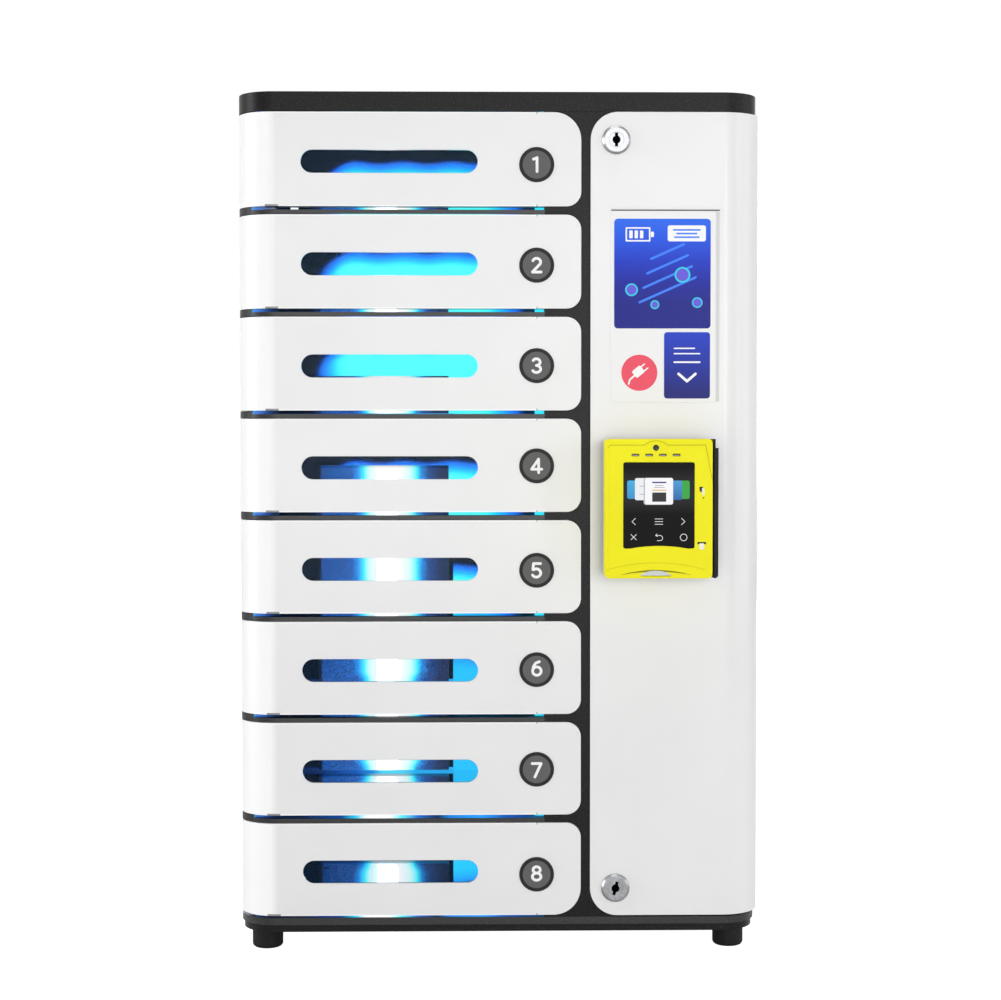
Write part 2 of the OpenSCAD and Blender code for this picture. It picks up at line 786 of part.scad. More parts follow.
// A door's depth seen from above: a shallow tray with a deep arm to the hinge.
module wrap_plan(proud, inset, x1, extra) {
    arm_x = -hinge_x + hinge_in + extra;
    intersection() {
        wrap_outline(proud, inset, x1);
        union() {
            translate([-half_w - proud, -proud]) square([x1 + half_w + proud, flange_d + proud + extra]);
            translate([-half_w - proud, -proud]) square([arm_x + half_w + proud, hinge_back + proud + extra]);
        }
    }
}

// A door shell round the left front corner, with a full-height barrel for its rod.
module wrap_shell(proud, x1, z0, h, r_low, r_high) {
    wall = door_wall;
    difference() {
        union() {
            difference() {
                intersection() {
                    upright(z0, h) wrap_plan(proud, 0, x1, 0);
                    facing(-proud - cut, hinge_back + proud + 2 * cut)
                        door_front(-skin_w - cut, x1, z0, z0 + h, r_low, r_high);
                }
                intersection() {
                    upright(z0 + wall, h - 2 * wall) wrap_plan(proud, wall, x1 - wall, cut);
                    facing(-proud - cut, hinge_back + proud + 3 * cut)
                        door_front(-skin_w - cut, x1 - wall, z0 + wall, z0 + h - wall,
                                   r_low - wall, r_high - wall);
                }
            }
            translate([-hinge_x, hinge_back, z0]) cylinder(r = hinge_in + proud, h = h);
        }
        translate([-hinge_x, hinge_back, z0 - cut]) cylinder(r = rod_hole_r, h = h + 2 * cut);
    }
}

// Corner radii at a door's free end: larger at the two ends of the row.
function door_low_r(i) = i == door_count ? end_r : door_r;
function door_high_r(i) = i == 1 ? end_r : door_r;

// Door i's striker: a tab behind the door with an eye for the bolt.
module striker(i) {
    difference() {
        translate([striker_x - striker_t, door_wall / 2, door_mid(i) - tab_h / 2])
            cube([striker_t, striker_end - door_wall / 2, tab_h]);
        translate([striker_x - striker_t - cut, bolt_back - eye_w / 2, door_mid(i) - eye_w / 2])
            cube([striker_t + 2 * cut, eye_w, eye_w]);
    }
}

module door(i) {
    color("#ededed") {
        difference() {
            wrap_shell(0, door_x, door_z(i), door_h, door_low_r(i), door_high_r(i));
            facing(-cut, door_wall + 2 * cut)
                translate([window_mid_x, door_mid(i) - window_drop]) pill(window_w, window_h);
        }
        striker(i);
    }
}

module window(i) {
    color("#8fd8ff") translate([window_mid_x, 0, door_mid(i) - window_drop]) {
        facing(door_wall, window_t) pill(window_w + 2 * window_rim, window_h + 2 * window_rim);
        facing(window_sink, door_wall) pill(window_w - 2 * window_play, window_h - 2 * window_play);
    }
}

module badge(i) {
    drop = badge_drops[(i - 1) % len(badge_drops)];
    color("#555759") facing(-badge_t, badge_t)
        translate([badge_x, door_mid(i) - drop]) circle(badge_d / 2);
}

module service_door() {
    z0 = doors_z;
    h = doors_top - doors_z;
    color("#eaeaea") difference() {
        mirror([1, 0, 0]) wrap_shell(skin_proud, -service_x, z0, h, end_r, end_r);
        translate([service_x - cut, -lap_gap, z0 - cut])
            cube([post_lap + lap_gap + cut, flange_d + 2 * cut, h + 2 * cut]);
        facing(-skin_proud - cut, door_wall + 2 * cut) {
            translate([terminal_x, terminal_z])
                square([rear_w + 2 * hole_play, rear_h + 2 * hole_play], center = true);
            for (z = [z0 + lock_end, z0 + h - lock_end])
                translate([lock_x, z]) circle(lock_barrel_r + hole_play);
        }
    }
}

module sign_plate() {
    color("#f4f4f4") facing(-skin_proud - sign_t, sign_t)
        translate([service_x + sign_in, doors_mid + sign_up]) round_rect(sign_w, sign_h, sign_r);
}

// A lock's place at height z, with Z along the axis and to the back.
module at_lock(z) {
    translate([lock_x, -skin_proud, z]) rotate([-90, 0, 0]) children();
}

module lock_bodies() {
    depth = post_d + skin_proud;
    color("#c9cbce") for (z = [doors_z + lock_end, doors_top - lock_end]) at_lock(z) difference() {
        union() {
            rotate_extrude() polygon([
                [0, -lock_head_t], [lock_head_d / 2 - lock_bevel, -lock_head_t],
                [lock_head_d / 2, lock_bevel - lock_head_t], [lock_head_d / 2, 0],
                [lock_barrel_r, 0], [lock_barrel_r, depth], [0, depth]]);
            translate([0, 0, door_wall]) rotate([0, 0, 30]) cylinder(r = nut_w / 2, h = nut_t, $fn = 6);
        }
        translate([0, 0, -lock_head_t - cut])
            cylinder(r = cylinder_r + cylinder_play, h = depth + lock_head_t + 2 * cut);
    }
}

// The turning cylinder, with its keyhole turned by tilt.
module lock_cylinder(z, tilt) {
    color("#dcdee0") at_lock(z) difference() {
        translate([0, 0, cylinder_sink - lock_head_t])
            cylinder(r = cylinder_r, h = post_d + skin_proud + lock_head_t - cylinder_sink + cam_gap);
        translate([0, 0, -lock_head_t]) rotate([0, 0, tilt]) linear_extrude(height = keyway_d) {
            circle(keyhole_r);
            square([keyway_w, keyway_h], center = true);
        }
    }
}

// A cam that points along turn degrees, from straight up and to the left.
module lock_cam(z, turn) {
    color("#a4a7ab") translate([lock_x, 0, z]) rotate([0, -turn, 0]) facing(post_d + cam_gap, cam_t) {
        circle(cam_w / 2);
        translate([-cam_w / 2, 0]) square([cam_w, cam_l - cam_w / 2]);
        translate([0, cam_l - cam_w / 2]) circle(cam_w / 2);
    }
}

// The swipe rail seen from the front, notched above and bevelled below; x 0 is its left side.
module rail_shape() {
    polygon([
        [0, -cover_h / 2], [rail_w - rail_notch, -cover_h / 2], [rail_w, rail_notch - cover_h / 2],
        [rail_w, cover_h / 2 - rail_drop], [rail_notch, cover_h / 2 - rail_drop], [rail_notch, cover_h / 2],
        [0, cover_h / 2]]);
}

module terminal_housing() {
    rail_front = terminal_front + rail_set;
    rail_back = cover_back + housing_t;
    color("#1b1c1e") translate([terminal_x, 0, terminal_z]) {
        facing(cover_back, -skin_proud - cover_back)
            round_rect(cover_w - 2 * housing_inset, cover_h - 2 * housing_inset, cover_r);
        facing(-skin_proud - cut, rear_d + skin_proud + cut) round_rect(rear_w, rear_h, cover_r);
        facing(rail_front, rail_back - rail_front) translate([cover_w / 2 + swipe_w, 0]) rail_shape();
        facing(rail_front + swipe_d, rail_back - rail_front - swipe_d)
            translate([cover_w / 2, -cover_h / 2 + rail_drop])
                square([swipe_w + rail_notch, cover_h - 2 * rail_drop]);
        facing(cover_back, housing_t)
            translate([cover_w / 2 - 2 * housing_inset, -cover_h / 2 + rail_drop])
                square([2 * housing_inset + swipe_w + rail_notch, cover_h - 2 * rail_drop]);
    }
}

// The screen's outline, arched upwards in its lower edge.
module screen_shape(play) {
    difference() {
        translate([0, screen_up]) round_rect(screen_w - 2 * play, screen_h - 2 * play, screen_r);
        translate([0, screen_up - screen_h / 2 + arch_rise - arch_r + play]) circle(arch_r);
    }
}

// The raised field of the cover's face, with a hump over the sensor and an arch over the scoop.
module cover_field() {
    left = field_side - cover_w / 2;
    right = cover_w / 2;
    top = cover_h / 2 - field_drop;
    hump_r = (hump_w * hump_w / 4 + hump_h * hump_h) / (2 * hump_h);
    difference() {
        union() {
            polygon([[left, -cover_h / 2], [left, top], [right - slant_w, top], [right, top - slant_h],
                     [right, -cover_h / 2]]);
            translate([-lights_left, top + hump_h - hump_r]) circle(hump_r);
        }
        translate([-lights_left, field_low - cover_h / 2 - field_arch_r]) circle(field_arch_r);
    }
}

module terminal_cover() {
    color("#f2ec1c") translate([terminal_x, 0, terminal_z]) difference() {
        union() {
            facing(terminal_front + field_step, cover_d - field_step) round_rect(cover_w, cover_h, cover_r);
            facing(terminal_front, 2 * field_step) cover_field();
        }
        facing(terminal_front - cut, screen_sink + cut) screen_shape(0);
        facing(terminal_front - cut, sensor_sink + cut)
            translate([-lights_left, cover_h / 2 - sensor_drop]) circle(sensor_r);
        facing(terminal_front - cut, light_sink + cut) for (i = [0:light_count - 1])
            translate([(i - (light_count - 1) / 2) * light_pitch - lights_left, cover_h / 2 - light_drop])
                pill(light_w, light_h);
        translate([-lights_left, 0, -cover_h / 2]) {
            facing(terminal_front - cut, scoop_sink + cut) intersection() {
                translate([0, scoop_h - scoop_r]) circle(scoop_r);
                square([mouth_w, 2 * scoop_h], center = true);
            }
            facing(terminal_front - cut, mouth_d + cut)
                translate([0, mouth_up]) square([mouth_w - 2 * scoop_h, mouth_h], center = true);
            facing(terminal_front - cut, finger_d + cut) translate([0, mouth_up]) pill(finger_w, finger_h);
        }
    }
}

module terminal_screen() {
    color("#141416") translate([terminal_x, 0, terminal_z])
        facing(terminal_front + screen_sink - screen_t, screen_t) screen_shape(screen_play);
}

placed() top_cap();
placed() base_pan();
placed() base_plate();
placed() back_panel();
placed() left_side_panel();
placed() right_side_panel();
placed() hinge_post();
placed() latch_post();
placed() divider();
placed() shelves();
placed() hinge_rods();
placed() lamp_units();
placed() lamp_lenses();
placed() latch_bodies();
placed() feet();
placed() power_supply();
placed() controller_board();
placed() power_inlet();
placed() service_door();
placed() sign_plate();
placed() lock_bodies();
placed() lock_cylinder(doors_top - lock_end, 0);  // lock_cylinder_upper
placed() lock_cylinder(doors_z + lock_end, 15);  // lock_cylinder_lower
placed() lock_cam(doors_top - lock_end, 0);  // lock_cam_upper
placed() lock_cam(doors_z + lock_end, 180);  // lock_cam_lower
placed() terminal_housing();
placed() terminal_cover();
placed() terminal_screen();
for (i = [1:door_count]) {
    placed() door(i);
    placed() window(i);
    placed() badge(i);
    placed() latch_bolt(i);
}
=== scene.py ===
"""A phone charging locker: the finishes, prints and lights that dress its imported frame."""
import math

import bmesh
import bpy
from mathutils import Matrix, Vector
from mathutils.geometry import delaunay_2d_cdt


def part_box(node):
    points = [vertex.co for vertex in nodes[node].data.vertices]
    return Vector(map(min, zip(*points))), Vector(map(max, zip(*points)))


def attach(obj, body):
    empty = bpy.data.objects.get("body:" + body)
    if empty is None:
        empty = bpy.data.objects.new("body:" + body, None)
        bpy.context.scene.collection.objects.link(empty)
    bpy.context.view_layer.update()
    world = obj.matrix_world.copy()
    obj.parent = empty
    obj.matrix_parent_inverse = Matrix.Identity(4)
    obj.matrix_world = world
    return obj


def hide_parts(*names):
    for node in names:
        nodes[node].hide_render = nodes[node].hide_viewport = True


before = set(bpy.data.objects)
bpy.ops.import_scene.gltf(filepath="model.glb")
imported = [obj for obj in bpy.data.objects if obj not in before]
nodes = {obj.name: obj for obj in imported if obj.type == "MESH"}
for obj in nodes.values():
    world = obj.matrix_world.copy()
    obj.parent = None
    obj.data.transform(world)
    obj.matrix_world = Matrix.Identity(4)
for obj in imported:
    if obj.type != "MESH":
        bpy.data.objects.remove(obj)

MM = 0.001
PITCH = 0.096  # from one compartment and its door to the next
LOWEST_FLOOR = 0.0347  # height of the lowest compartment's floor
LOWEST_DOOR = 0.0821  # height of the lowest door's middle
BAY_LEFT, BAY_RIGHT = -0.232, 0.044  # the compartments' side walls
# Where the painted highlights on a door's folds and hinge-side bend, and the painted shade in its nicks and
# at its flange's end, lie:
BEND_START, BEND_END = -0.2095, -0.2165  # where a door's front turns round towards its hinge
FOLD_START, FOLD_END = 0.0427, 0.0436  # a flange's fold, measured up or down from a door's middle
FLANGE_END = 0.0363  # where the flange along a door's upper and lower edges stops
NICK, NICK_REACH = -0.2135, 0.0062  # the middle and half the length of the nick at a bend's end
NICK_START = 0.0424  # how far up or down from a door's middle a nick starts
LAYER = 0.06  # from one layer of print to the next, in mm
DOORS = range(1, 9)
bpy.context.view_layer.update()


def face_y(node):
    """How far forward a node reaches: the depth of its front face."""
    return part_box(node)[0].y


def middle(node):
    low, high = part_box(node)
    return (low + high) / 2


# ---------------------------------------------------------------- materials

def linear(colour):
    """An sRGB hex colour as the linear values that a shader takes."""
    parts = [int(colour[i:i + 2], 16) / 255 for i in (1, 3, 5)]
    return (*[p / 12.92 if p <= 0.04045 else ((p + 0.055) / 1.055) ** 2.4 for p in parts], 1)


def add(tree, kind, inputs=(), **settings):
    """Adds a shader node with its settings and returns its outputs; inputs, by name or in their
    order, are values, or the outputs of other nodes that are linked in."""
    made = tree.nodes.new("ShaderNode" + kind)
    for name, value in settings.items():
        setattr(made, name, value)
    for name, value in inputs.items() if isinstance(inputs, dict) else enumerate(inputs):
        if isinstance(value, bpy.types.NodeSocket):
            tree.links.new(value, made.inputs[name])
        else:
            made.inputs[name].default_value = value
    return made.outputs


def ramp(tree, factor, stops, interpolation="LINEAR"):
    """A colour ramp with stops of position and hex colour, or position and level of grey."""
    colour = add(tree, "ValToRGB", {"Fac": factor})["Color"]
    colour.node.color_ramp.interpolation = interpolation
    elements = colour.node.color_ramp.elements
    while len(elements) < len(stops):
        elements.new(0.5)
    for element, (position, value) in zip(elements, stops):
        element.position = position
        element.color = linear(value) if isinstance(value, str) else (value, value, value, 1)
    return colour


def feed(node, **sockets):
    """Gives a node's sockets their values, or links in the outputs that they take."""
    for name, value in sockets.items():
        socket = node.inputs[name.replace("_", " ")]
        if isinstance(value, bpy.types.NodeSocket):
            node.id_data.links.new(value, socket)
        else:
            socket.default_value = value


def finish(name, roughness, metallic=0.0, **sockets):
    """A material with one Principled shader; uniform values go straight onto its sockets."""
    material = bpy.data.materials.new(name)
    material.use_nodes = True
    tree = material.node_tree
    shader = tree.nodes["Principled BSDF"]
    feed(shader, Roughness=roughness, Metallic=metallic, **sockets)
    place = add(tree, "TexCoord")["Object"]
    return material, tree, shader, place


def grain(tree, place, size_mm, detail):
    """Noise whose grains measure about size_mm."""
    return add(tree, "TexNoise", {"Vector": place, "Scale": 1 / (2 * size_mm * MM), "Detail": detail,
                                  "Roughness": 0.6})["Fac"]


def bump(tree, shader, height, depth_mm, strength=1.0):
    raised = {"Height": height, "Distance": depth_mm * MM, "Strength": strength}
    feed(shader, Normal=add(tree, "Bump", raised)["Normal"])


def textured_black(tree, shader, place):
    """Gives a shader the cabinet's fine-grained black; returns the grains and their colour."""
    grains = grain(tree, place, 0.8, 3)
    colour = ramp(tree, grains, [(0.35, "#070708"), (0.55, "#0e0e0f"), (0.72, "#2c2c2e")])
    feed(shader, Base_Color=colour)
    bump(tree, shader, grains, 0.1, 0.3)
    return grains, colour


def black_powder_coat():
    """Fine-textured polyester powder, baked on sheet steel: matt black with a light speckle
    where the grains catch the light. The grain is drawn at 0.8 mm, coarser than real, to show."""
    material, tree, shader, place = finish("black_textured_powder_coat", 0.36, Specular_IOR_Level=0.17)
    textured_black(tree, shader, place)
    return material


def white_powder_coat(name, folded=False):
    """Smooth satin powder coat over folded sheet: almost even white, with the faint
    orange-peel ripple of a baked coat, 4 mm from crest to crest. On the doors a painted
    highlight shows as a lighter line along the folds of the upper and lower flanges and lies
    whiter over the round bend at the hinge side; painted shade shows the nick at the end of
    each bend as a short grey dash, and the flange's end as a tick."""
    material, tree, shader, place = finish(name, 0.38, Specular_IOR_Level=0.45, Coat_Weight=0.35,
                                           Coat_Roughness=0.12)
    ripple = grain(tree, place, 4, 1)
    cloud = grain(tree, place, 60, 2)
    colour = ramp(tree, cloud, [(0.3, "#e9e9e9"), (0.7, "#ededed")])
    bump(tree, shader, ripple, 0.04, 0.08)
    # On the doors: a painted highlight along the flanges' folds and over the hinge-side bend, and painted
    # shade in the nicks and at the flange's end.
    if folded:
        x, _, z = add(tree, "SeparateXYZ", [place])
        above = add(tree, "Math", [z, -LOWEST_DOOR - PITCH / 2], operation="ADD")[0]
        above = add(tree, "Math", [above, PITCH], operation="FLOORED_MODULO")[0]
        off = add(tree, "Math", [above, -PITCH / 2], operation="ADD")[0]
        off = add(tree, "Math", [off], operation="ABSOLUTE")[0]
        fold_highlight = add(tree, "MapRange", {"Value": off, "From Min": FOLD_START, "From Max": FOLD_END})[0]
        flange = add(tree, "Math", [x, FLANGE_END], operation="LESS_THAN")[0]
        fold_highlight = add(tree, "Math", [fold_highlight, flange], operation="MULTIPLY")[0]
        bend = add(tree, "MapRange", {"Value": x, "From Min": BEND_START, "From Max": BEND_END})[0]
        fold_highlight = add(tree, "Math", [fold_highlight, bend], operation="MAXIMUM")[0]
        # Painted highlight: the folds and the bend are drawn towards white.
        light = add(tree, "Mix", {"Factor": fold_highlight, "A": colour, "B": linear("#ffffff")}, data_type="RGBA")
        # Painted shade: a grey dash at each nick, and a tick at the flange's end.
        nick = add(tree, "Math", [x, NICK, NICK_REACH], operation="COMPARE")[0]
        low = add(tree, "Math", [above, PITCH / 2], operation="LESS_THAN")[0]
        edge = add(tree, "Math", [off, NICK_START], operation="GREATER_THAN")[0]
        nick = add(tree, "Math", [nick, low], operation="MULTIPLY")[0]
        nick = add(tree, "Math", [nick, edge], operation="MULTIPLY")[0]
        slit_shade = add(tree, "Math", [x, FLANGE_END, 0.45 * MM], operation="COMPARE")[0]
        slit_shade = add(tree, "Math", [slit_shade, edge], operation="MULTIPLY")[0]
        nick = add(tree, "Math", [nick, slit_shade], operation="MAXIMUM")[0]
        painted_marks = {"Factor": nick, "A": light["Result"], "B": linear("#8c8c8c")}
        colour = add(tree, "Mix", painted_marks, data_type="RGBA")["Result"]
    feed(shader, Base_Color=colour)
    return material


def glow_height(tree, z):
    """Height above the floor of whichever compartment a point lies in, and that
    compartment's number, counted from 0 at the lowest."""
    above = add(tree, "Math", [z, -LOWEST_FLOOR], operation="ADD")[0]
    height = add(tree, "Math", [above, PITCH], operation="FLOORED_MODULO")[0]
    floors = add(tree, "Math", [above, PITCH], operation="DIVIDE")[0]
    return height, add(tree, "Math", [floors], operation="FLOOR")[0]


def navy_grain(tree, place, dark, light):
    """Navy with scattered lighter grains, as the lamps pick out a textured coat at a distance."""
    return ramp(tree, grain(tree, place, 0.55, 2), [(0.42, dark), (0.56, dark), (0.7, light)])


def lit_back_panel():
    """Black powder coat whose inner face is washed with the lamps' light: bright low down,
    ending in a soft scalloped edge, grainy navy above it and fading to the sides. A strip to
    the right of each lamp unit lies in the unit's shade, and light leaks out beneath it."""
    material, tree, shader, place = finish("lamp_lit_powder_coat", 0.42, Specular_IOR_Level=0.3)
    textured_black(tree, shader, place)
    x, y, z = add(tree, "SeparateXYZ", [place])
    height, number = glow_height(tree, z)
    wave_length, wave_height, wave_start = 0.052, 0.0011, 0.8
    bow_start, bow = -0.148, -9.0  # left of bow_start the light's edge sinks with the square of the way
    lit_end = 0.0436
    share = add(tree, "Math", [number, 0.125, 0.06], operation="MULTIPLY_ADD")[0]
    reach = ramp(tree, share, [(0.0, 0.31), (0.5, 0.47), (0.625, 0.81)], "CONSTANT")
    wave = add(tree, "Math", [x, 2 * math.pi / wave_length, wave_start], operation="MULTIPLY_ADD")[0]
    wave = add(tree, "Math", [wave], operation="SINE")[0]
    scallop = add(tree, "Math", [wave, wave_height], operation="MULTIPLY")[0]
    edge = add(tree, "Math", [reach, 0.1, scallop], operation="MULTIPLY_ADD")[0]
    left = add(tree, "Math", [bow_start, x], operation="SUBTRACT")[0]
    left = add(tree, "Math", [left, 0.0], operation="MAXIMUM")[0]
    left = add(tree, "Math", [left, left], operation="MULTIPLY")[0]
    edge = add(tree, "Math", [left, bow, edge], operation="MULTIPLY_ADD")[0]
    under = add(tree, "Math", [edge, height], operation="SUBTRACT")[0]
    glow = add(tree, "MapRange", {"Value": under, "From Min": -0.005, "From Max": 0.016})[0]
    high = add(tree, "Math", [share, 0.5], operation="GREATER_THAN")[0]
    wide = add(tree, "MapRange", {"Value": x, "From Min": -0.204, "From Max": -0.158},
               interpolation_type="SMOOTHSTEP")[0]
    unit_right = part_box("lamp_units")[1].x
    beyond = add(tree, "MapRange", {"Value": x, "From Min": unit_right + 4.3 * MM,
                                    "From Max": unit_right + 5.1 * MM})[0]
    side = add(tree, "Mix", {"Factor": high, "A": beyond, "B": wide})["Result"]
    right = add(tree, "MapRange", {"Value": x, "From Min": -0.012, "From Max": 0.034, "To Min": 1.0,
                                   "To Max": 0.12})[0]
    side = add(tree, "Math", [side, right], operation="MULTIPLY")[0]
    glow = add(tree, "Math", [glow, side], operation="MULTIPLY")[0]
    light = ramp(tree, glow, [(0.0, "#000b1c"), (0.08, "#021530"), (0.2, "#0a3888"), (0.32, "#1c70ee"),
                              (0.48, "#2092ff"), (0.7, "#20ccff"), (0.88, "#3cf8ff"), (1.0, "#50ffff")])
    deep = add(tree, "Math", [share, 0.35], operation="LESS_THAN")[0]
    azure = ramp(tree, glow, [(0.0, "#06152a"), (0.2, "#0a2a5c"), (0.45, "#229cf6"), (1.0, "#26c4ff")])
    light = add(tree, "Mix", {"Factor": deep, "A": light, "B": azure}, data_type="RGBA")["Result"]
    low = add(tree, "Math", [height, 3.6 * MM], operation="LESS_THAN")[0]
    behind = add(tree, "Math", [x, unit_right + 5 * MM], operation="LESS_THAN")[0]
    low = add(tree, "Math", [low, behind], operation="MULTIPLY")[0]
    along = add(tree, "MapRange", {"Value": x, "From Min": BAY_LEFT, "From Max": BAY_RIGHT})[0]
    leak = ramp(tree, along, [(0.0, "#04101f"), (0.15, "#0a2c66"), (0.3, "#1a60c0"), (0.36, "#2490e8"),
                              (0.4, "#50e0ff"), (0.47, "#50e0ff"), (0.53, "#28b4f4"), (1.0, "#28a4f0")])
    light = add(tree, "Mix", {"Factor": low, "A": light, "B": leak}, data_type="RGBA")["Result"]
    dim = add(tree, "Math", [glow, low], operation="MAXIMUM")[0]
    dim = add(tree, "MapRange", {"Value": dim, "From Min": 0.04, "From Max": 0.2})[0]
    dark = navy_grain(tree, place, "#000a1a", "#123058")
    light = add(tree, "Mix", {"Factor": dim, "A": dark, "B": light}, data_type="RGBA")["Result"]
    inside = add(tree, "Math", [x, lit_end], operation="LESS_THAN")[0]
    front = add(tree, "Math", [y, face_y("back_panel") + 0.2 * MM], operation="LESS_THAN")[0]
    lit = add(tree, "Math", [inside, front], operation="MULTIPLY")[0]
    lowest = add(tree, "MapRange", {"Value": number, "To Min": 1.25, "To Max": 1.0})[0]
    lit = add(tree, "Math", [lit, lowest], operation="MULTIPLY")[0]
    feed(shader, Emission_Color=light, Emission_Strength=lit)
    return material


def lamp_housing():
    """Blue-tinted moulded polycarbonate that the lens lights from its middle: burnt out beside
    the lens, then cyan and blue, and grainy navy towards the ends."""
    material, tree, shader, place = finish("blue_moulded_polycarbonate", 0.35)
    feed(shader, Base_Color=linear("#0a1628"))
    x, y, z = add(tree, "SeparateXYZ", [place])
    front = face_y("lamp_units")
    height, number = glow_height(tree, z)
    brightest = -0.1145
    off = add(tree, "Math", [x, brightest], operation="SUBTRACT")[0]
    pinch = add(tree, "MapRange", {"Value": height, "From Min": 4 * MM, "From Max": 15 * MM, "To Min": 1.18,
                                   "To Max": 1.0}, interpolation_type="SMOOTHSTEP")[0]
    core = add(tree, "Math", [off], operation="ABSOLUTE")[0]
    core = add(tree, "MapRange", {"Value": core, "From Min": 60 * MM, "From Max": 30 * MM})[0]
    pinch = add(tree, "Mix", {"Factor": core, "A": 1.0, "B": pinch})["Result"]
    off = add(tree, "Math", [off, pinch], operation="MULTIPLY")[0]
    along = add(tree, "MapRange", {"Value": off, "From Min": -75 * MM, "From Max": 75 * MM})[0]
    light = ramp(tree, along, [(0.016, "#020c1c"), (0.03, "#1450a0"), (0.24, "#1a60b8"), (0.285, "#2090f0"),
                               (0.33, "#40f4ff"), (0.36, "#c8ffff"), (0.41, "#ffffff"), (0.59, "#ffffff"),
                               (0.655, "#d8fffa"), (0.705, "#40f4ff"), (0.74, "#2090e8"), (0.79, "#184a96"),
                               (0.87, "#102858"), (1.0, "#0c2048")])
    shade = add(tree, "MapRange", {"Value": y, "From Min": front, "From Max": front + 6 * MM, "To Min": 1.0,
                                   "To Max": 0.35})[0]
    near = add(tree, "Math", [off], operation="ABSOLUTE")[0]
    near = add(tree, "MapRange", {"Value": near, "From Min": 40 * MM, "From Max": 30 * MM})[0]
    speckle = add(tree, "MapRange", {"Value": grain(tree, place, 0.55, 2), "From Min": 0.38,
                                     "From Max": 0.64, "To Min": 0.3, "To Max": 1.6})[0]
    lowest = add(tree, "MapRange", {"Value": number, "To Min": 0.6, "To Max": 1.0})[0]
    speckle = add(tree, "Math", [speckle, lowest], operation="MULTIPLY")[0]
    speckle = add(tree, "Mix", {"Factor": near, "A": speckle, "B": 1.0})["Result"]
    shade = add(tree, "Math", [shade, speckle], operation="MULTIPLY")[0]
    feed(shader, Emission_Color=light, Emission_Strength=shade)
    return material


def lamp_diffuser():
    """Opal acrylic over the lamp's diodes: white, a touch cooler at its rim, and bright enough
    to burn out."""
    material, tree, shader, place = finish("opal_acrylic", 0.3)
    feed(shader, Base_Color=linear("#dffaff"))
    x = add(tree, "SeparateXYZ", [place])[0]
    off = add(tree, "Math", [x, middle("lamp_lenses").x + 2.2 * MM], operation="SUBTRACT")[0]
    off = add(tree, "Math", [off], operation="ABSOLUTE")[0]
    across = add(tree, "MapRange", {"Value": off, "From Max": 12.8 * MM})[0]
    light = ramp(tree, across, [(0.0, "#ffffff"), (0.9, "#f8ffff"), (1.0, "#98c4c8")])
    feed(shader, Emission_Color=light, Emission_Strength=2.0)
    return material


def mirror_floor(name, within=None):
    """Black chrome on a compartment's floor: a dark mirror that doubles the lamp, with the
    cabinet's textured powder coat on the front hem, the outer 12 mm. Just behind the hem of the
    two lowest floors the lamp's image is drawn out into a streak. within is the height of the
    one face that is plated, where the rest of the sheet is powder coated."""
    material, tree, shader, place = finish(name, 0.07)
    x, y, z = add(tree, "SeparateXYZ", [place])
    front = face_y("latch_post")
    below_third_floor = 0.14
    hem = add(tree, "Math", [y, front + 12 * MM], operation="LESS_THAN")[0]
    store = add(tree, "Math", [x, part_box("divider")[1].x], operation="GREATER_THAN")[0]
    hem = add(tree, "Math", [hem, store], operation="MAXIMUM")[0]
    rear = add(tree, "Math", [y, face_y("back_panel") + 0.1 * MM], operation="GREATER_THAN")[0]
    hem = add(tree, "Math", [hem, rear], operation="MAXIMUM")[0]
    if within:
        flat = add(tree, "Math", [z, within, 0.1 * MM], operation="COMPARE")[0]
        flat = add(tree, "Math", [1.0, flat], operation="SUBTRACT")[0]
        hem = add(tree, "Math", [hem, flat], operation="MAXIMUM")[0]
    grains, coat = textured_black(tree, shader, place)
    colour = add(tree, "Mix", {"Factor": hem, "A": linear("#e6ebf1"), "B": coat}, data_type="RGBA")
    rough = add(tree, "MapRange", {"Value": hem, "To Min": 0.07, "To Max": 0.36})[0]
    plated = add(tree, "Math", [1.0, hem], operation="SUBTRACT")[0]
    feed(shader, Base_Color=colour["Result"], Roughness=rough, Metallic=plated)
    uneven = add(tree, "Math", [grains, hem], operation="MULTIPLY")[0]
    bump(tree, shader, uneven, 0.1, 0.3)
    along = add(tree, "MapRange", {"Value": x, "From Min": BAY_LEFT, "From Max": BAY_RIGHT})[0]
    streak = ramp(tree, along, [(0.0, "#04101f"), (0.16, "#0a1c3c"), (0.3, "#0c4492"), (0.35, "#2cd0f4"),
                                (0.385, "#ffffff"), (0.46, "#ffffff"), (0.5, "#50ecff"), (0.56, "#1a62c4"),
                                (0.63, "#0a2040"), (0.67, "#1c80dc"), (0.78, "#2aa0ff"), (0.86, "#1a58b8"),
                                (1.0, "#0a2450")])
    strip = add(tree, "Math", [y, front + 20 * MM, 18 * MM], operation="COMPARE")[0]
    low = add(tree, "Math", [z, below_third_floor], operation="LESS_THAN")[0]
    strip = add(tree, "Math", [strip, low], operation="MULTIPLY")[0]
    top = add(tree, "SeparateXYZ", [add(tree, "NewGeometry")["Normal"]])[2]
    top = add(tree, "Math", [top, 0.5], operation="GREATER_THAN")[0]
    strip = add(tree, "Math", [strip, top], operation="MULTIPLY")[0]
    store = add(tree, "Math", [1.0, store], operation="SUBTRACT")[0]
    strip = add(tree, "Math", [strip, store], operation="MULTIPLY")[0]
    feed(shader, Emission_Color=streak, Emission_Strength=strip)
    return material


